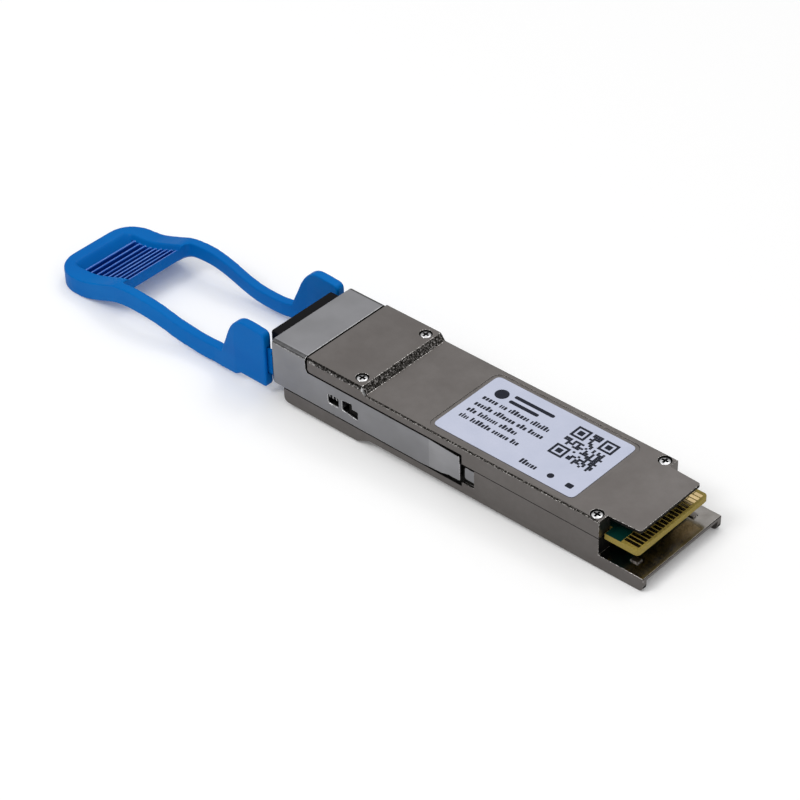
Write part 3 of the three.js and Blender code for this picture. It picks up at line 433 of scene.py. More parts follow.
LOOKS = {
    "cast_metal": cast_metal(),
    "cast_bright": cast_bright(),
    # Near-black painted shade, put into gaps, joints and recesses
    "cast_painted_shade": cast_painted_shade(),
    "cast_edge": cast_edge(),
    "cast_band": cast_band(),
    "cast_rim_highlight": cast_rim_highlight(),
    "sheet_steel": sheet_steel("sheet_steel", (0.35, 0.35, 0.365), (0.405, 0.405, 0.425)),
    # A lighter copy of the sheet steel, as a painted highlight on the arms' bent-out ends
    "sheet_end_highlight": sheet_steel("sheet_end_highlight", (0.42, 0.42, 0.435), (0.5, 0.5, 0.52)),
    "sheet_cut_highlight": sheet_cut_highlight(),
    "sheet_fold_shade": sheet_fold_shade(),
    "blue_plastic": blue_plastic("blue_plastic", (0.0, 0.125, 0.455), (0.0, 0.15, 0.5), 0.06, 0.3, 0.36),
    # A darker blue as painted shade in the grip's grooves, and a lighter, glossier blue on the rib tops,
    # its lighter tone a painted highlight
    "blue_groove_shade": blue_plastic("blue_groove_shade", (0.0, 0.03, 0.24), (0.0, 0.04, 0.28), 0.06, 0.4, 0.5),
    "blue_rib_highlight": blue_plastic("blue_rib_highlight", (0.03, 0.15, 0.6), (0.05, 0.2, 0.65), 0.8, 0.2, 0.26),
    "black_plastic": black_plastic(),
    "label_stock": label_stock(),
    "print_ink": print_ink(),
    "screw_steel": plated_steel("screw_steel", (0.85, 0.85, 0.86), 0.14, 0.24),
    "turned_steel": plated_steel("turned_steel", (0.6, 0.6, 0.6), 0.2, 0.3),
    "spring_steel": plated_steel("spring_steel", (0.6, 0.6, 0.6), 0.22, 0.32),
    "gold_plate": plated_steel("gold_plate", (0.95, 0.72, 0.38), 0.14, 0.24),
    "board_laminate": board_laminate(),
    "bare_laminate": bare_laminate(),
    "conductive_rubber": soft_solid("conductive_rubber", (0.01,) * 3, (0.02,) * 3, 0.2 * MM, 0.8),
    "zirconia": soft_solid("zirconia", (0.7, 0.68, 0.63), (0.8, 0.78, 0.74), 0.5 * MM, 0.25),
    "thermal_pad": soft_solid("thermal_pad", (0.2, 0.27, 0.33), (0.26, 0.34, 0.4), 0.3 * MM, 0.85),
    "polyimide": soft_solid("polyimide", (0.3, 0.12, 0.01), (0.4, 0.17, 0.02), 1 * MM, 0.35),
    "chip_package": soft_solid("chip_package", (0.008,) * 3, (0.016,) * 3, 0.15 * MM, 0.6),
    "ferrite": soft_solid("ferrite", (0.03,) * 3, (0.06,) * 3, 0.15 * MM, 0.7),
    "capacitor_ceramic": soft_solid(
        "capacitor_ceramic", (0.25, 0.16, 0.08), (0.34, 0.22, 0.12), 0.2 * MM, 0.5,
    ),
}

# ---- Mesh helpers -------------------------------------------------------------------

FLAT_WITHIN = math.radians(0.5)
EDGE_ANGLE = math.radians(28)
SMOOTH_ANGLE = math.radians(35)
TURNED_EDGE_ANGLE = math.radians(40)

# Least part of a face's normal along an axis, if the face leans, turns or looks squarely that way
LEANING = 0.3
TURNED = 0.5
SQUARE = 0.9


def piece_from(bm, name, body, slot, *looks):
    """A new object that takes its finish from a slot and rides on a body, if one is given."""
    mesh = bpy.data.meshes.new(name)
    bm.to_mesh(mesh)
    bm.free()
    piece = bpy.data.objects.new(name, mesh)
    bpy.context.scene.collection.objects.link(piece)
    for look in looks or (slot,):
        mesh.materials.append(LOOKS[look])
    if body:
        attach(piece, body)
    return piece


def cad_copy(node, weld=EXACT):
    """The CAD node's solid as a BMesh with its flat faces whole again."""
    bm = bmesh.new()
    bm.from_mesh(NODES[node].data)
    bmesh.ops.remove_doubles(bm, verts=bm.verts, dist=weld)
    bmesh.ops.dissolve_limit(
        bm, angle_limit=FLAT_WITHIN, verts=bm.verts, edges=bm.edges, delimit={"NORMAL"},
    )
    return bm


def sharp_edges(bm, limit=EDGE_ANGLE, wanted=lambda edge: True):
    """The wanted edges whose two faces meet at more than the limit."""
    bm.normal_update()
    return [
        edge for edge in bm.edges
        if len(edge.link_faces) == 2 and edge.calc_face_angle(0.0) > limit and wanted(edge)
    ]


def bevel(bm, edges, width, segments=2, look=-1, clamp=True):
    """Ease edges; look is the material index of the new faces, or -1 for their neighbours'."""
    bmesh.ops.bevel(
        bm, geom=edges, offset=width, offset_type="OFFSET", segments=segments, profile=0.5,
        affect="EDGES", clamp_overlap=clamp, material=look,
    )


def near(value, plane, gap=TOUCHING):
    """Whether a coordinate lies within a gap of a plane."""
    return abs(value - plane) < gap


def middle_of(edge):
    """The point halfway along an edge."""
    return (edge.verts[0].co + edge.verts[1].co) / 2


def paint(bm, look, wanted, over=None):
    """Give a material index to the faces that are wanted, only over one old index if it's given."""
    bm.normal_update()
    for face in bm.faces:
        if over in (None, face.material_index) and wanted(face.calc_center_median(), face.normal):
            face.material_index = look


def smooth_by_angle(piece, limit=SMOOTH_ANGLE):
    """Smooth shading that stops at edges sharper than the limit."""
    mesh = piece.data
    mesh.polygons.foreach_set("use_smooth", [True] * len(mesh.polygons))
    mesh.set_sharp_from_angle(angle=limit)
    modifier = piece.modifiers.new("even_normals", "WEIGHTED_NORMAL")
    modifier.keep_sharp = True


def finish(bm, node, body, slot, *looks):
    """Make the refined solid that stands for one CAD node."""
    piece = piece_from(bm, "fine_" + node, body, slot, *looks)
    smooth_by_angle(piece)
    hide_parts(node)


def refined(node, body, slot, width, limit=EDGE_ANGLE):
    """Ease a CAD solid's edges and let it stand for its node."""
    bm = cad_copy(node)
    bevel(bm, sharp_edges(bm, limit), width)
    finish(bm, node, body, slot)


def add_loft(bm, lower_points, upper_points):
    """A closed solid between two outlines with as many points each, counter-clockwise from above."""
    lower = [bm.verts.new(point) for point in lower_points]
    upper = [bm.verts.new(point) for point in upper_points]
    bm.faces.new(lower[::-1])
    bm.faces.new(upper)
    count = len(lower)
    for i in range(count):
        k = (i + 1) % count
        bm.faces.new((lower[i], lower[k], upper[k], upper[i]))


def add_prism(bm, outline, z0, z1):
    """A closed prism over a plan outline of (x, y) points, counter-clockwise."""
    add_loft(bm, [(x, y, z0) for x, y in outline], [(x, y, z1) for x, y in outline])


def add_tablet(bm, x0, x1, y0, y1, corner, z0, z1, steps=3):
    """A rounded rectangle between two heights, with its corners in so many steps."""
    outline = []
    centres = ((x1 - corner, y1 - corner), (x0 + corner, y1 - corner), (x0 + corner, y0 + corner),
               (x1 - corner, y0 + corner))
    for quarter, (x, y) in enumerate(centres):
        for step in range(steps + 1):
            angle = (quarter + step / steps) * math.pi / 2
            outline.append((x + corner * math.cos(angle), y + corner * math.sin(angle)))
    add_prism(bm, outline, z0, z1)


def add_disc(bm, x, y, radius, z0, z1, count=32):
    """A round tablet with so many corners."""
    turn = 2 * math.pi / count
    points = [(x + radius * math.cos(i * turn), y + radius * math.sin(i * turn)) for i in range(count)]
    add_prism(bm, points, z0, z1)


def add_lathe(bm, profile, place, count=40):
    """A solid of revolution about the Z axis through place, from (radius, z) points going up."""
    rings = []
    for radius, z in profile:
        if radius == 0:
            rings.append([bm.verts.new(place + Vector((0, 0, z)))])
            continue
        rings.append([
            bm.verts.new(place + Vector((
                radius * math.cos(2 * math.pi * i / count), radius * math.sin(2 * math.pi * i / count), z,
            ))) for i in range(count)
        ])
    for lower, upper in zip(rings, rings[1:]):
        for i in range(count):
            k = (i + 1) % count
            corners = [lower[i % len(lower)], lower[k % len(lower)], upper[k % len(upper)],
                       upper[i % len(upper)]]
            bm.faces.new(list(dict.fromkeys(corners)))


def subtract(piece, cutter_bm):
    """Cut a shape out of a piece, with the result applied to its mesh."""
    mesh = bpy.data.meshes.new("cutter")
    cutter_bm.to_mesh(mesh)
    cutter_bm.free()
    cutter = bpy.data.objects.new("cutter", mesh)
    bpy.context.scene.collection.objects.link(cutter)
    cut = piece.modifiers.new("cut", "BOOLEAN")
    cut.operation = "DIFFERENCE"
    cut.solver = "EXACT"
    cut.object = cutter
    apply_modifiers(piece)
    bpy.data.objects.remove(cutter)


def apply_modifiers(piece):
    """Make what the modifiers show the piece's own mesh."""
    graph = bpy.context.evaluated_depsgraph_get()
    mesh = bpy.data.meshes.new_from_object(piece.evaluated_get(graph))
    piece.modifiers.clear()
    piece.data = mesh


# ---- Shells -------------------------------------------------------------------------

EDGE_EASE = 0.05 * MM
BAND_WIDTH = 0.21 * MM
RAISED_BAND_DROP = 0.5 * MM
COVER_WELD = 0.07 * MM
STEP_REACH = 1 * MM
LABEL_RIM = 0.75 * MM
RECESS_DEPTH = 0.2 * MM
COUNTERBORE_RADIUS = 1.08 * MM
COUNTERBORE_SINK = 0.02 * MM
BOSS_REACH = 3 * MM
OUTSIDE_ABOVE_Z = LABEL_FACE_Z - 0.6 * MM
OUTSIDE_BELOW_Z = TONGUE_TOP_Z + 0.3 * MM
SEAM_REACH = 0.06 * MM
STOP_REACH = 1 * MM
TONGUE_LIP = 0.35 * MM
TONGUE_LIP_DEPTH = 0.3 * MM


def runs_along_top(edge):
    """Whether an edge is one of the cover's long outer top edges, step included."""
    a, b = (v.co for v in edge.verts)
    outer = min(abs(a.y), abs(b.y)) > HALF_WIDTH - EXACT
    high = min(a.z, b.z) > LABEL_FACE_Z - EXACT
    return outer and high and abs(a.x - b.x) > BESIDE


def is_outer(edge):
    """Whether an edge lies on a shell's outside, where a hand or an eye reaches it."""
    middle = middle_of(edge)
    return (
        middle.z > OUTSIDE_ABOVE_Z or middle.z < OUTSIDE_BELOW_Z
        or abs(middle.y) > SKIRT_Y - EDGE_EASE or middle.x > BODY_END_X - EDGE_EASE
    )


def cover_shell():
    """Upper casting: rough step and chamfers, worn rims with a painted highlight, smooth faces, painted
    shade in its joints, gaps and recesses, and a painted highlight on the step's facets.
    """
    metal, band, rough, rim, dark, bright = range(6)
    bm = cad_copy("cover_shell", COVER_WELD)
    bevel(bm, sharp_edges(bm, wanted=runs_along_top), BAND_WIDTH, segments=1, look=band, clamp=False)
    widen_raised_band(bm)
    # Painted highlight: the chamfers' slanted facets at the step take the bright screw steel
    paint(bm, bright, lambda centre, normal: normal.x > LEANING, over=band)
    paint(bm, rough, lambda centre, normal: (
        normal.x > TURNED and normal.z > LEANING and abs(normal.y) < LEANING
        and near(centre.x, STEP_START_X, STEP_REACH)
    ))
    outer = sharp_edges(bm, wanted=lambda edge: is_outer(edge) and not is_by_boss(edge))
    # The eased edges take the worn rim look with its painted highlight
    bevel(bm, outer, EDGE_EASE, look=rim, clamp=False)
    paint(bm, band, is_upper_rim_of_band, over=rim)
    at_front = COVER_FRONT_X + 0.5 * MM
    paint(bm, metal, lambda centre, normal: centre.x < at_front and normal.z > LEANING, over=rim)
    paint(bm, metal, lambda centre, normal: is_by_label(centre) and normal.z > LEANING)
    # Painted shade on the walls of the label's recess
    paint(bm, dark, lambda centre, normal: is_by_label(centre) and abs(normal.z) < LEANING)
    behind_body = BODY_END_X + 0.2 * MM
    # Painted shade in the front gap, the skirt, under the cheek and seam, behind the body and in the
    # counterbores
    paint(bm, dark, lambda centre, normal: (
        centre.x < at_front and normal.x < -TURNED
        or centre.x < COVER_FRONT_X and normal.z > TURNED
        or near(abs(centre.y), SKIRT_Y)
        or near(centre.z, CHEEK_Z, BESIDE) and normal.z < -LEANING
        or near(centre.z, SEAM_Z, SEAM_REACH) and normal.z < -LEANING
        or centre.x > behind_body and normal.z < 0.1
        or is_in_counterbore(centre)
    ))
    finish(
        bm, "cover_shell", "module", "cast_metal",
        "cast_metal", "cast_band", "cast_edge", "cast_rim_highlight", "cast_painted_shade", "screw_steel",
    )


def widen_raised_band(bm):
    """Draw the chamfer of the raised part's long edges further down its sides."""
    lowest = COVER_HIGH.z - BAND_WIDTH - BESIDE
    for vertex in bm.verts:
        place = vertex.co
        on_side = near(abs(place.y), HALF_WIDTH, EXACT) and place.x < STEP_START_X + BESIDE
        if on_side and place.z > lowest:
            place.z -= RAISED_BAND_DROP


def is_upper_rim_of_band(centre, normal):
    """Whether a face of the eased edges lies above a chamfer; the raised part's chamfer is steeper."""
    on_raised_part = centre.z > LABEL_FACE_Z + 0.5 * MM
    steepest = 0.4 if on_raised_part else 0.7
    beside_band = abs(centre.y) > HALF_WIDTH - 2 * BAND_WIDTH
    return normal.z > steepest and abs(normal.y) > 0.1 and beside_band


def is_by_label(point):
    """Whether a point lies in the label's recess or on its rim."""
    return (
        LABEL_LOW.x - LABEL_RIM < point.x < LABEL_HIGH.x + LABEL_RIM
        and abs(point.y) < LABEL_HIGH.y + LABEL_RIM
        and LABEL_FACE_Z - RECESS_DEPTH < point.z < LABEL_FACE_Z - EXACT
    )


def is_by_boss(edge):
    """Whether an edge lies under the cover's top face beside a rear screw, where walls are thin."""
    middle = middle_of(edge)
    below_top = middle.z < LABEL_FACE_Z - TOUCHING
    return below_top and middle.x > BODY_END_X - BOSS_REACH and abs(middle.y) < SKIRT_Y


def is_in_counterbore(point):
    """Whether a point lies on the wall or floor of a screw's counterbore."""
    for end in ("front", "rear"):
        low, high = (Vector(corner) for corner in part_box(f"cover_screw_{end}_right"))
        off_x = point.x - (low.x + high.x) / 2
        off_y = abs(point.y) - abs(low.y + high.y) / 2
        if math.hypot(off_x, off_y) < COUNTERBORE_RADIUS and point.z < high.z + COUNTERBORE_SINK:
            return True
    return False


def base_shell():
    """Lower casting, with painted shade in its joints, pockets and the tongue's lip, worn rims with a
    painted highlight, bright stops and a bright rear tongue under the card.
    """
    _, bright, rim, dark, stop = range(5)
    bm = cad_copy("base_shell")
    paint(bm, bright, lambda centre, normal: (
        normal.z > SQUARE and centre.x > BODY_END_X and near(centre.z, TONGUE_TOP_Z)
    ))
    # The eased edges take the worn rim look with its painted highlight
    bevel(bm, sharp_edges(bm, wanted=is_outer), EDGE_EASE, look=rim, clamp=False)
    low, high, below_stop, barely = STOP_FACE_LOW, STOP_FACE_HIGH, 2 * MM, 0.15
    # Painted shade in the skirt and seam joints, over the flange, in the pockets, around the stop and on
    # the tongue's lip
    paint(bm, dark, lambda centre, normal: (
        near(abs(centre.y), SKIRT_Y)
        or near(centre.z, SEAM_Z, SEAM_REACH) and normal.z > LEANING
        or near(centre.z, FLANGE_TOP_Z, BESIDE) and normal.z > LEANING and centre.x < STOP_WALL_X
        or centre.x < BODY_END_X and centre.z < SEAM_Z and is_inside(centre)
        or low.x - STOP_REACH < centre.x < high.x and low.y < abs(centre.y)
        and abs(normal.y) < TURNED and below_stop < centre.z < SEAM_Z
        or near(centre.x, STOP_WALL_X, BESIDE) and normal.x < -TURNED and centre.z < SEAM_Z
        or centre.x > BASE_HIGH.x - TONGUE_LIP and centre.z > TONGUE_TOP_Z - TONGUE_LIP_DEPTH
        and normal.x > barely and normal.z > barely
    ))
    paint(bm, stop, lambda centre, normal: (
        low.x < centre.x < high.x and low.z < centre.z < high.z and abs(normal.y) > LEANING
        and abs(centre.y) > low.y
    ))
    finish(
        bm, "base_shell", "module", "cast_metal",
        "cast_metal", "cast_bright", "cast_rim_highlight", "cast_painted_shade", "sheet_steel",
    )


def is_inside(point):
    """Whether a point of the base lies in the card's pocket or the springs' pockets."""
    beside_spring = (
        SPRING_LOW.x - 1 * MM < point.x < SPRING_HIGH.x + 2 * MM
        and 7 * MM < abs(point.y) < SKIRT_Y and 3 * MM < point.z < 5.2 * MM
    )
    beside_card = point.x > BODY_END_X - BOSS_REACH and abs(point.y) < HALF_WIDTH - 0.3 * MM
    return beside_spring or beside_card and point.z > TONGUE_TOP_Z + EDGE_EASE


cover_shell()
base_shell()

# ---- Label --------------------------------------------------------------------------

refined("label", "module", "label_stock", 0.02 * MM)

INK = (LABEL_HIGH.z - 0.002 * MM, LABEL_HIGH.z + 0.006 * MM)
DASH_GAP = 0.14 * MM
WORD_GAP = 0.42 * MM
SHORTEST_WORD = 1.2 * MM
LOW_DASH = 0.72
BLOCK_COUNT = 18
BLOCK_SHARE = 0.97
BLOCK_CHANCE = 0.55
RING_CELLS = 6
RING_INSET = 1.8


def print_words(bm, dice, x, y, end_x, height):
    """A line of word-like groups of dashes, from x to end_x."""
    while x < end_x - SHORTEST_WORD:
        for _ in range(dice.randint(3, 8)):
            width = dice.uniform(0.26, 0.5) * MM
            if x + width > end_x:
                break
            low = y - height / 2
            high = low + height * dice.choice((LOW_DASH, LOW_DASH, 1.0))
            add_tablet(bm, x, x + width, low, high, 0.1 * MM, *INK, steps=2)
            x += width + DASH_GAP
        x += WORD_GAP


def print_cell(bm, x0, x1, y0, y1):
    """A printed rectangle."""
    add_prism(bm, [(x0, y0), (x1, y0), (x1, y1), (x0, y1)], *INK)


def print_square_ring(bm, x, y, cell):
    """A square ring six cells wide, with a solid square in its middle."""
    side = RING_CELLS * cell
    inset = RING_INSET * cell
    print_cell(bm, x, x + side, y, y + cell)
    print_cell(bm, x, x + side, y + side - cell, y + side)
    print_cell(bm, x, x + cell, y + cell, y + side - cell)
    print_cell(bm, x + side - cell, x + side, y + cell, y + side - cell)
    print_cell(bm, x + inset, x + side - inset, y + inset, y + side - inset)


def print_blocks(bm, dice, x, y, side):
    """A decorative pattern of random cells between three square rings; it encodes nothing."""
    cell = side / BLOCK_COUNT
    last = BLOCK_COUNT - RING_CELLS
    corners = ((0, 0), (0, last), (last, last))
    for column, row in corners:
        print_square_ring(bm, x + column * cell, y + row * cell, cell)
    for column in range(BLOCK_COUNT):
        for row in range(BLOCK_COUNT):
            beside_ring = any(
                c - 1 <= column <= c + RING_CELLS and r - 1 <= row <= r + RING_CELLS for c, r in corners
            )
            if dice.random() < BLOCK_CHANCE and not beside_ring:
                x0, y0 = x + column * cell, y + row * cell
                print_cell(bm, x0, x0 + cell * BLOCK_SHARE, y0, y0 + cell * BLOCK_SHARE)


def label_print():
    """Generic print: a round mark, two bars, lines of dashes, a block pattern and two small signs."""
    bm = bmesh.new()
    dice = random.Random(7)
    left, right = LABEL_LOW.x + 1.6 * MM, LABEL_HIGH.x
    add_disc(bm, left + 1.7 * MM, 4.45 * MM, 1.15 * MM, *INK)
    bar_x, bar_height = left + 3.6 * MM, 0.7 * MM
    for bar_y, width in ((4.9 * MM, 7.6 * MM), (3.55 * MM, 5.6 * MM)):
        add_tablet(bm, bar_x, bar_x + width, bar_y, bar_y + bar_height, 0.3 * MM, *INK)
    for y, length in ((2.25, 13.6), (0.4, 14.6), (-1.35, 11.0), (-3.1, 11.8)):
        print_words(bm, dice, left, y * MM, left + length * MM, 1.05 * MM)
    print_blocks(bm, dice, right - 9.6 * MM, -1.6 * MM, 7.7 * MM)
    small_y = -5.6 * MM
    print_words(bm, dice, right - 11.2 * MM, small_y, right - 8.2 * MM, 1.1 * MM)
    add_disc(bm, right - 5.6 * MM, small_y, 0.55 * MM, *INK)
    sign_x, half = right - 2.7 * MM, 0.5 * MM
    add_tablet(bm, sign_x, sign_x + 1.2 * MM, small_y - half, small_y + half, 0.2 * MM, *INK)
    piece_from(bm, "label_print", "module", "label_stock", "print_ink")


label_print()

# ---- Screws -------------------------------------------------------------------------

HEAD_RADIUS = 0.88 * MM
HEAD_EDGE = 0.16 * MM
HEAD_FOOT = 0.8 * MM
SHANK_RADIUS = 0.6 * MM
SHANK_CHAMFER = 0.1 * MM
CROSS_REACH = 0.68 * MM
CROSS_HALF = 0.2 * MM
CROSS_DEPTH = 0.5 * MM
CROSS_TAPER = 0.6


def cross_cutter(centre, top):
    """A cross-shaped plug that narrows downwards."""
    quarter = ((CROSS_REACH, -CROSS_HALF), (CROSS_REACH, CROSS_HALF), (CROSS_HALF, CROSS_HALF))
    outline = []
    for turn in range(4):
        angle = turn * math.pi / 2
        outline += [
            (x * math.cos(angle) - y * math.sin(angle), x * math.sin(angle) + y * math.cos(angle))
            for x, y in quarter
        ]
    bm = bmesh.new()
    levels = ((top - CROSS_DEPTH, CROSS_TAPER), (top + 0.1 * MM, 1.0))
    add_loft(bm, *(
        [(centre.x + x * scale, centre.y + y * scale, z) for x, y in outline] for z, scale in levels
    ))
    return bm


def cover_screw(node):
    """Pan head with a domed crown and a cross recess, on a plain shank; the recess is painted near-black
    as painted shade.
    """
    low, high = (Vector(corner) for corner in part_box(node))
    centre = (low + high) / 2
    top = high.z
    dome = [
        (HEAD_RADIUS * math.cos(angle), top - HEAD_EDGE + HEAD_EDGE * math.sin(angle))
        for angle in (math.radians(9 * i) for i in range(10))
    ]
    foot, ease = top - HEAD_FOOT, 0.04 * MM
    profile = [
        (0, low.z), (SHANK_RADIUS - SHANK_CHAMFER, low.z), (SHANK_RADIUS, low.z + SHANK_CHAMFER),
        (SHANK_RADIUS, foot), (HEAD_RADIUS - ease, foot), (HEAD_RADIUS, foot + ease), *dome[:-1],
        (0, top),
    ]
    bm = bmesh.new()
    add_lathe(bm, profile, Vector((centre.x, centre.y, 0)))
    piece = piece_from(bm, "fine_" + node, "module", "screw_steel", "screw_steel", "cast_painted_shade")
    subtract(piece, cross_cutter(centre, top))
    recess_floor, recess_mouth = top - CROSS_DEPTH - 0.05 * MM, top - 0.06 * MM
    # Painted shade: faces inside the cross recess take the near-black look
    for face in piece.data.polygons:
        off = math.hypot(face.center.x - centre.x, face.center.y - centre.y)
        in_recess = off < CROSS_REACH + 0.02 * MM and recess_floor < face.center.z < recess_mouth
        face.material_index = 1 if in_recess else 0
    smooth_by_angle(piece, TURNED_EDGE_ANGLE)
    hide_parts(node)


for end in ("front", "rear"):
    for side in ("right", "left"):
        cover_screw(f"cover_screw_{end}_{side}")

# ---- Receptacle and optics ----------------------------------------------------------

refined("lc_receptacle", "module", "black_plastic", 0.15 * MM)
refined("transmit_barrel", "module", "turned_steel", EDGE_EASE, TURNED_EDGE_ANGLE)
refined("receive_barrel", "module", "turned_steel", EDGE_EASE, TURNED_EDGE_ANGLE)

# ---- Board --------------------------------------------------------------------------

MASK_END_X = 25.4 * MM
CONTACTS = {
    "count": 19, "pitch": 0.8 * MM, "width": 0.6 * MM, "height": 0.03 * MM, "sink": 0.005 * MM,
    "corner": 0.08 * MM,
}
CONTACT_ROWS = ((25.5 * MM, 26.7 * MM), (26.85 * MM, 28.15 * MM))
STAGGER = 0.3 * MM
LONG_CONTACTS = 3


def circuit_board():
    """Masked laminate, bare along its milled edges and between the contacts."""
    bare = 1
    bm = cad_copy("circuit_board")
    geometry = bm.verts[:] + bm.edges[:] + bm.faces[:]
    bmesh.ops.bisect_plane(bm, geom=geometry, plane_co=(MASK_END_X, 0, 0), plane_no=(1, 0, 0))
    paint(bm, bare, lambda centre, normal: abs(normal.z) < TURNED or centre.x > MASK_END_X)
    bevel(bm, sharp_edges(bm), 0.06 * MM, look=bare)
    finish(
        bm, "circuit_board", "module", "board_laminate", "board_laminate", "bare_laminate",
    )


def card_contacts():
    """Gold fingers on both faces of the card, each in two lengths."""
    bm = bmesh.new()
    half, sink = CONTACTS["width"] / 2, CONTACTS["sink"]
    faces = (
        (BOARD_HIGH.z - sink, BOARD_HIGH.z + CONTACTS["height"]),
        (BOARD_LOW.z - CONTACTS["height"], BOARD_LOW.z + sink),
    )
    for i in range(CONTACTS["count"]):
        y = (i - (CONTACTS["count"] - 1) / 2) * CONTACTS["pitch"]
        (rear0, rear1), (front0, front1) = CONTACT_ROWS
        shift = STAGGER * (i % 2)
        for z0, z1 in faces:
            fingers = ((rear0, rear1 - shift), (front0 - shift, front1))
            if i < LONG_CONTACTS:
                fingers = ((rear0, front1),)
            for x0, x1 in fingers:
                add_tablet(bm, x0, x1, y - half, y + half, CONTACTS["corner"], z0, z1, steps=2)
    piece_from(bm, "card_contacts", "module", "gold_plate")


circuit_board()
card_contacts()

# ---- Latch --------------------------------------------------------------------------

SLIDER_FLAT_Y = HALF_WIDTH - 0.9 * MM
SLIDER_FOLD_Z = 8.4 * MM
SLEEVE_FRONT_X = -42.02 * MM
ARM_BEND_X = -9.8 * MM
ARM_TOP_Z = 6.85 * MM
SLEEVE_END_X = -34.95 * MM
SLEEVE_TOP_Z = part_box("latch_slider")[1][2]
WINDOW_LOW = (SPRING_LOW.x - 2 * MM, 3 * MM)
WINDOW_HIGH = (SPRING_HIGH.x + 4 * MM, 5.3 * MM)


def is_window_rim(edge):
    """Whether an edge bounds one of the sleeve's side windows on its outer face."""
    (low_x, low_z), (high_x, high_z) = WINDOW_LOW, WINDOW_HIGH
    return all(
        near(abs(vertex.co.y), HALF_WIDTH) and low_x < vertex.co.x < high_x
        and low_z < vertex.co.z < high_z for vertex in edge.verts
    )


def is_shown_rim(edge):
    """Whether an edge bounds a side window, or the sleeve's outer face at the cover."""
    ends = [vertex.co for vertex in edge.verts]
    at_cover = all(
        near(end.x, SLEEVE_END_X) and end.z > CHEEK_Z
        and (abs(end.y) > HALF_WIDTH - TOUCHING or end.z > SLEEVE_TOP_Z - TOUCHING) for end in ends
    )
    return at_cover or is_window_rim(edge)


def is_on_tight_fold(centre, normal):
    """Whether a face lies where the sleeve's fold runs out into its side."""
    steep = 0.8 < abs(normal.y) < 0.97 and normal.z > 0.2
    return steep and abs(centre.y) > SLIDER_FLAT_Y and centre.z > SLIDER_FOLD_Z


def latch_slider():
    """Folded sheet with burnished edges, with painted highlight on its edges and bent-out arm ends and
    painted shade on its fold, end face and arm tops.
    """
    steel, cut, fold, moulding, end, shade = range(6)
    bm = cad_copy("latch_slider")
    bevel(bm, sharp_edges(bm, wanted=is_shown_rim), 0.12 * MM, look=cut, clamp=False)
    plain = sharp_edges(
        bm, wanted=lambda edge: all(face.material_index != cut for face in edge.link_faces),
    )
    bevel(bm, plain, 0.06 * MM, look=cut, clamp=False)
    # Painted shade on the fold, picked by the faces' slant
    paint(bm, fold, lambda centre, normal: (
        0.15 < abs(normal.y) < 0.8 and normal.z > LEANING and abs(centre.y) > SLIDER_FLAT_Y
    ), over=steel)
    # Painted highlight on the facets where the tight fold runs out
    paint(bm, cut, is_on_tight_fold, over=steel)
    paint(bm, moulding, lambda centre, normal: centre.x < SLEEVE_FRONT_X)
    # Painted highlight: the bent-out ends of the arms take the lighter copy of the steel
    paint(bm, end, lambda centre, normal: (
        centre.x > ARM_BEND_X and abs(normal.y) > SQUARE
    ), over=steel)
    # Painted shade on the sleeve's end face at the cover and on the arms' top faces, by the gaps
    paint(bm, shade, lambda centre, normal: (
        normal.x > SQUARE and near(centre.x, SLEEVE_END_X, BESIDE) and centre.z > CHEEK_Z
        or normal.z > LEANING and near(centre.z, ARM_TOP_Z, BESIDE)
    ))
    finish(
        bm, "latch_slider", "latch", "sheet_steel",
        "sheet_steel", "sheet_cut_highlight", "sheet_fold_shade", "blue_plastic", "sheet_end_highlight", "cast_painted_shade",
    )


latch_slider()

SPRING = {"wire": 0.15 * MM, "turns": 7, "per_turn": 28, "around": 10, "closed_share": 0.35}


def return_spring(node):
    """Round wire wound with closed end turns."""
    low, high = (Vector(corner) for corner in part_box(node))
    centre = (low + high) / 2
    wire, turns, around = SPRING["wire"], SPRING["turns"], SPRING["around"]
    radius = (high.z - low.z) / 2 - wire
    steps = turns * SPRING["per_turn"]
    closed = 1.0 / turns

    def advance(t):
        """Share of the length reached, with the first and last turns wound close."""
        squeeze = SPRING["closed_share"] * closed
        if t < closed:
            return squeeze * t / closed
        if t > 1 - closed:
            return 1 - squeeze * (1 - t) / closed
        return squeeze + (t - closed) / (1 - 2 * closed) * (1 - 2 * squeeze)

    def point(t):
        """The wire's centre line, with t from 0 to 1."""
        angle = 2 * math.pi * turns * t
        x = low.x + wire + advance(t) * (high.x - low.x - 2 * wire)
        return Vector((x, centre.y + radius * math.cos(angle), centre.z + radius * math.sin(angle)))

    bm = bmesh.new()
    rings = []
    nudge = 0.001
    for i in range(steps + 1):
        t = i / steps
        along = (point(min(1, t + nudge)) - point(max(0, t - nudge))).normalized()
        outward = (point(t) - Vector((point(t).x, centre.y, centre.z))).normalized()
        side = along.cross(outward).normalized()
        rings.append([
            bm.verts.new(point(t) + wire * (
                math.cos(2 * math.pi * k / around) * outward + math.sin(2 * math.pi * k / around) * side
            )) for k in range(around)
        ])
    for ring, following in zip(rings, rings[1:]):
        for k in range(around):
            n = (k + 1) % around
            bm.faces.new((ring[k], ring[n], following[n], following[k]))
    bm.faces.new(rings[0][::-1])
    bm.faces.new(rings[-1])
    bmesh.ops.recalc_face_normals(bm, faces=bm.faces)
    piece = piece_from(bm, "fine_" + node, None, "spring_steel")
    smooth_by_angle(piece)
    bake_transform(piece)
    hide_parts(node)


return_spring("return_spring_right")
return_spring("return_spring_left")

# ---- Pull tab -----------------------------------------------------------------------

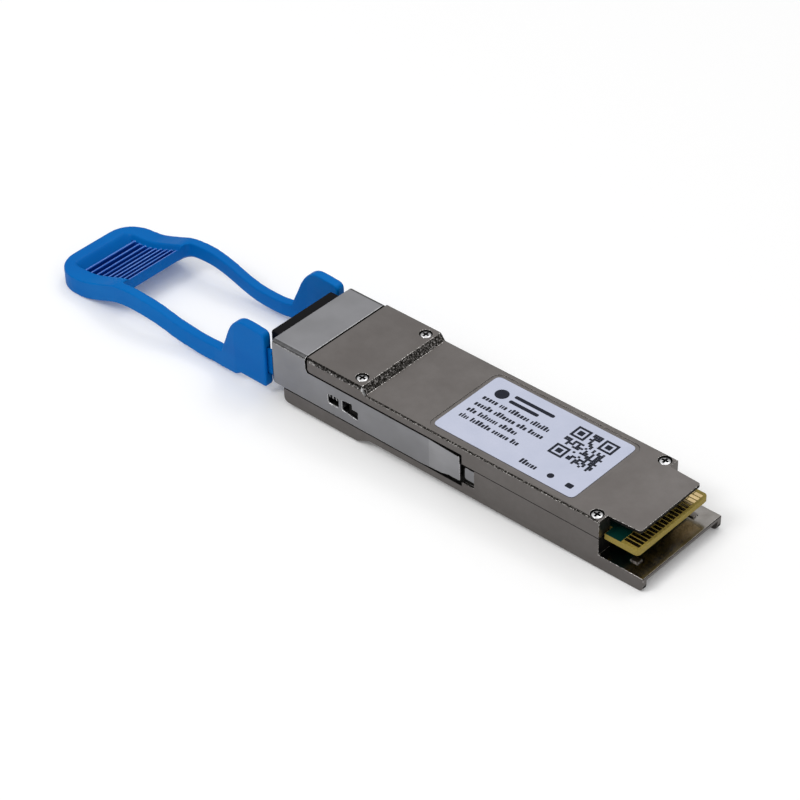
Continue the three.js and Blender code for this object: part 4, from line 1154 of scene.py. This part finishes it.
TAB_TIP_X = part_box("pull_tab")[0][0]
SCOOP = {
    "x": TAB_TIP_X + 2.1 * MM, "tip_slope": 2.3 * MM, "half_width": 6.35 * MM, "side_slope": 1.3 * MM,
    "end_x": TAB_TIP_X + 15.8 * MM, "depth": 1.85 * MM, "lip": 0.9 * MM,
}
RIBS = {
    "count": 9, "x": TAB_TIP_X + 4.6 * MM, "pitch": 1.31 * MM, "half_width": 0.32 * MM,
    "half_length": 5.7 * MM, "depth": 0.75 * MM, "flank": 0.2 * MM,
}
LAST_RIB_X = RIBS["x"] + (RIBS["count"] - 1) * RIBS["pitch"]
RIM_Y = 6.9 * MM
FLOOR_MARGIN = 0.45 * MM
SKIN_VOXEL = 0.13 * MM
GRIP_VOXEL = 0.1 * MM


def ease(share):
    """A smooth step from 0 to 1."""
    share = min(1.0, max(0.0, share))
    return share * share * (3 - 2 * share)


def scoop_depth(x, y):
    """How far the grip's surface lies below the tab's crest."""
    across = ease((SCOOP["half_width"] - abs(y)) / SCOOP["side_slope"])
    depth = SCOOP["depth"] * across * ease((x - SCOOP["x"]) / SCOOP["tip_slope"])
    nearest = round((x - RIBS["x"]) / RIBS["pitch"])
    if 0 <= nearest < RIBS["count"] and depth > RIBS["depth"]:
        off_centre = abs(x - RIBS["x"] - nearest * RIBS["pitch"])
        ridge = ease((RIBS["half_width"] - off_centre) / RIBS["flank"])
        ridge *= ease((RIBS["half_length"] - abs(y)) / RIBS["flank"])
        depth -= ridge * (depth - RIBS["depth"])
    if x > LAST_RIB_X + RIBS["half_width"]:
        depth = min(depth, SCOOP["lip"])
    return depth


def remesh(piece, voxel, rounds, keep=1.0):
    """Rebuild a piece's skin evenly, relax it, and thin it out where it's flat."""
    skin = piece.modifiers.new("skin", "REMESH")
    skin.mode = "VOXEL"
    skin.voxel_size = voxel
    skin.use_smooth_shade = True
    relax = piece.modifiers.new("round", "SMOOTH")
    relax.factor = 0.5
    relax.iterations = rounds
    if keep < 1:
        lighten = piece.modifiers.new("lighten", "DECIMATE")
        lighten.ratio = keep
    apply_modifiers(piece)


def pull_tab():
    """The moulded tab: rounded edges, and a scooped grip with slim ribs, its grooves painted darker as
    painted shade and its rib tops lighter as a painted highlight.
    """
    groove_shade, rib_highlight = 1, 2
    bm = cad_copy("pull_tab")
    bmesh.ops.triangulate(bm, faces=bm.faces)
    tree = BVHTree.FromBMesh(bm)
    piece = piece_from(
        bm, "fine_pull_tab", "latch", "blue_plastic", "blue_plastic", "blue_groove_shade", "blue_rib_highlight",
    )
    remesh(piece, SKIN_VOXEL, 12)

    def crest(x):
        """Height of the tab's upper face, taken on the rim beside the grip."""
        return tree.ray_cast(Vector((x, RIM_Y, 1)), Vector((0, 0, -1)))[0].z

    deepest = SCOOP["depth"] + FLOOR_MARGIN
    for vertex in piece.data.vertices:
        x, y, z = vertex.co
        if SCOOP["x"] < x < SCOOP["end_x"] and abs(y) < SCOOP["half_width"]:
            top = crest(x)
            if z > top - deepest:
                vertex.co.z = top - scoop_depth(x, y)
    remesh(piece, GRIP_VOXEL, 3, keep=0.2)
    first_x, last_x = RIBS["x"] - RIBS["pitch"] / 2, LAST_RIB_X + RIBS["pitch"] / 3
    # Painted shade in the grooves and a painted highlight on the rib tops, by depth below the crest
    for face in piece.data.polygons:
        x, y, z = face.center
        if first_x < x < last_x and abs(y) < RIBS["half_length"]:
            below = crest(x) - z
            if below < 1.25 * RIBS["depth"]:
                face.material_index = rib_highlight
            elif below < deepest:
                face.material_index = groove_shade
    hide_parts("pull_tab")


pull_tab()

# The rest keep their CAD mesh and take a finish from their slot.
for part in frame["record"]["subparts"]:
    node = NODES[part["node"]]
    if not node.hide_render:
        node.data.materials.clear()
        node.data.materials.append(LOOKS[part["material_slot"]])

# ---- Floor and light ----------------------------------------------------------------


def make_floor():
    """A pale surface, tilted so that the tab's lowest edge and the rear end both rest on it."""
    rear = Vector((BASE_HIGH.x, 0, 0))
    tab = NODES["pull_tab"].data.vertices
    slope = max((rear.z - v.co.z) / (rear.x - v.co.x) for v in tab)
    reach = 3.0
    bm = bmesh.new()
    corners = [(-reach, -reach), (reach, -reach), (reach, reach), (-reach, reach)]
    bm.faces.new([
        bm.verts.new((x, y, rear.z - slope * (rear.x - x))) for x, y in corners
    ])
    mesh = bpy.data.meshes.new("floor")
    bm.to_mesh(mesh)
    bm.free()
    floor = bpy.data.objects.new("floor", mesh)
    bpy.context.scene.collection.objects.link(floor)
    # The floor glows faintly, which lightens the shadows on it, and glossy rays see a darker grey than
    # the camera does, as a painted reflection on the metal
    look = Look("floor", Roughness=0.9, Specular_IOR_Level=0.0)
    mirrored = look.add("ShaderNodeLightPath").outputs["Is Glossy Ray"]
    look.set("Base Color", look.mix(mirrored, (0.93,) * 3, (0.62,) * 3))
    look.set("Emission Color", look.mix(mirrored, (1.0,) * 3, (0.0,) * 3))
    look.set("Emission Strength", 0.1)
    mesh.materials.append(look.material)


def make_light(name, place, size, watts):
    """A round lamp that shines at the module."""
    lamp = bpy.data.lights.new(name, "AREA")
    lamp.shape = "DISK"
    lamp.size = size
    lamp.energy = watts
    light = bpy.data.objects.new(name, lamp)
    light.location = place
    light.rotation_euler = Vector(place).to_track_quat("Z", "Y").to_euler()
    bpy.context.scene.collection.objects.link(light)


# Brightness of the studio by the sine of its height above the horizon
SKY = ((0.0, 0.12), (0.3, 0.16), (0.45, 0.34), (0.61, 0.56), (0.8, 0.8), (1.0, 0.9))
SKY_STRENGTH = 1.2


def make_world():
    """A studio that is dark near the horizon and bright overhead."""
    world = bpy.data.worlds.new("studio")
    world.use_nodes = True
    tree = world.node_tree
    background = tree.nodes["Background"]
    direction = tree.nodes.new("ShaderNodeTexCoord").outputs["Generated"]
    split = tree.nodes.new("ShaderNodeSeparateXYZ")
    tree.links.new(direction, split.inputs["Vector"])
    ramp = tree.nodes.new("ShaderNodeValToRGB")
    tree.links.new(split.outputs["Z"], ramp.inputs["Fac"])
    elements = ramp.color_ramp.elements
    while len(elements) < len(SKY):
        elements.new(1.0)
    for element, (height, value) in zip(elements, SKY):
        element.position = height
        element.color = (value, value, value, 1.0)
    tree.links.new(ramp.outputs["Color"], background.inputs["Color"])
    background.inputs["Strength"].default_value = SKY_STRENGTH
    bpy.context.scene.world = world


make_floor()
make_world()
make_light("key", (-0.25, -0.45, 0.6), size=0.25, watts=1.4)
make_light("back", (-0.2, 1.0, 1.6), size=0.5, watts=2.6)
make_light("fill", (1.1, -0.35, 0.35), size=0.7, watts=1.6)
bpy.context.scene.view_settings.view_transform = "Standard"
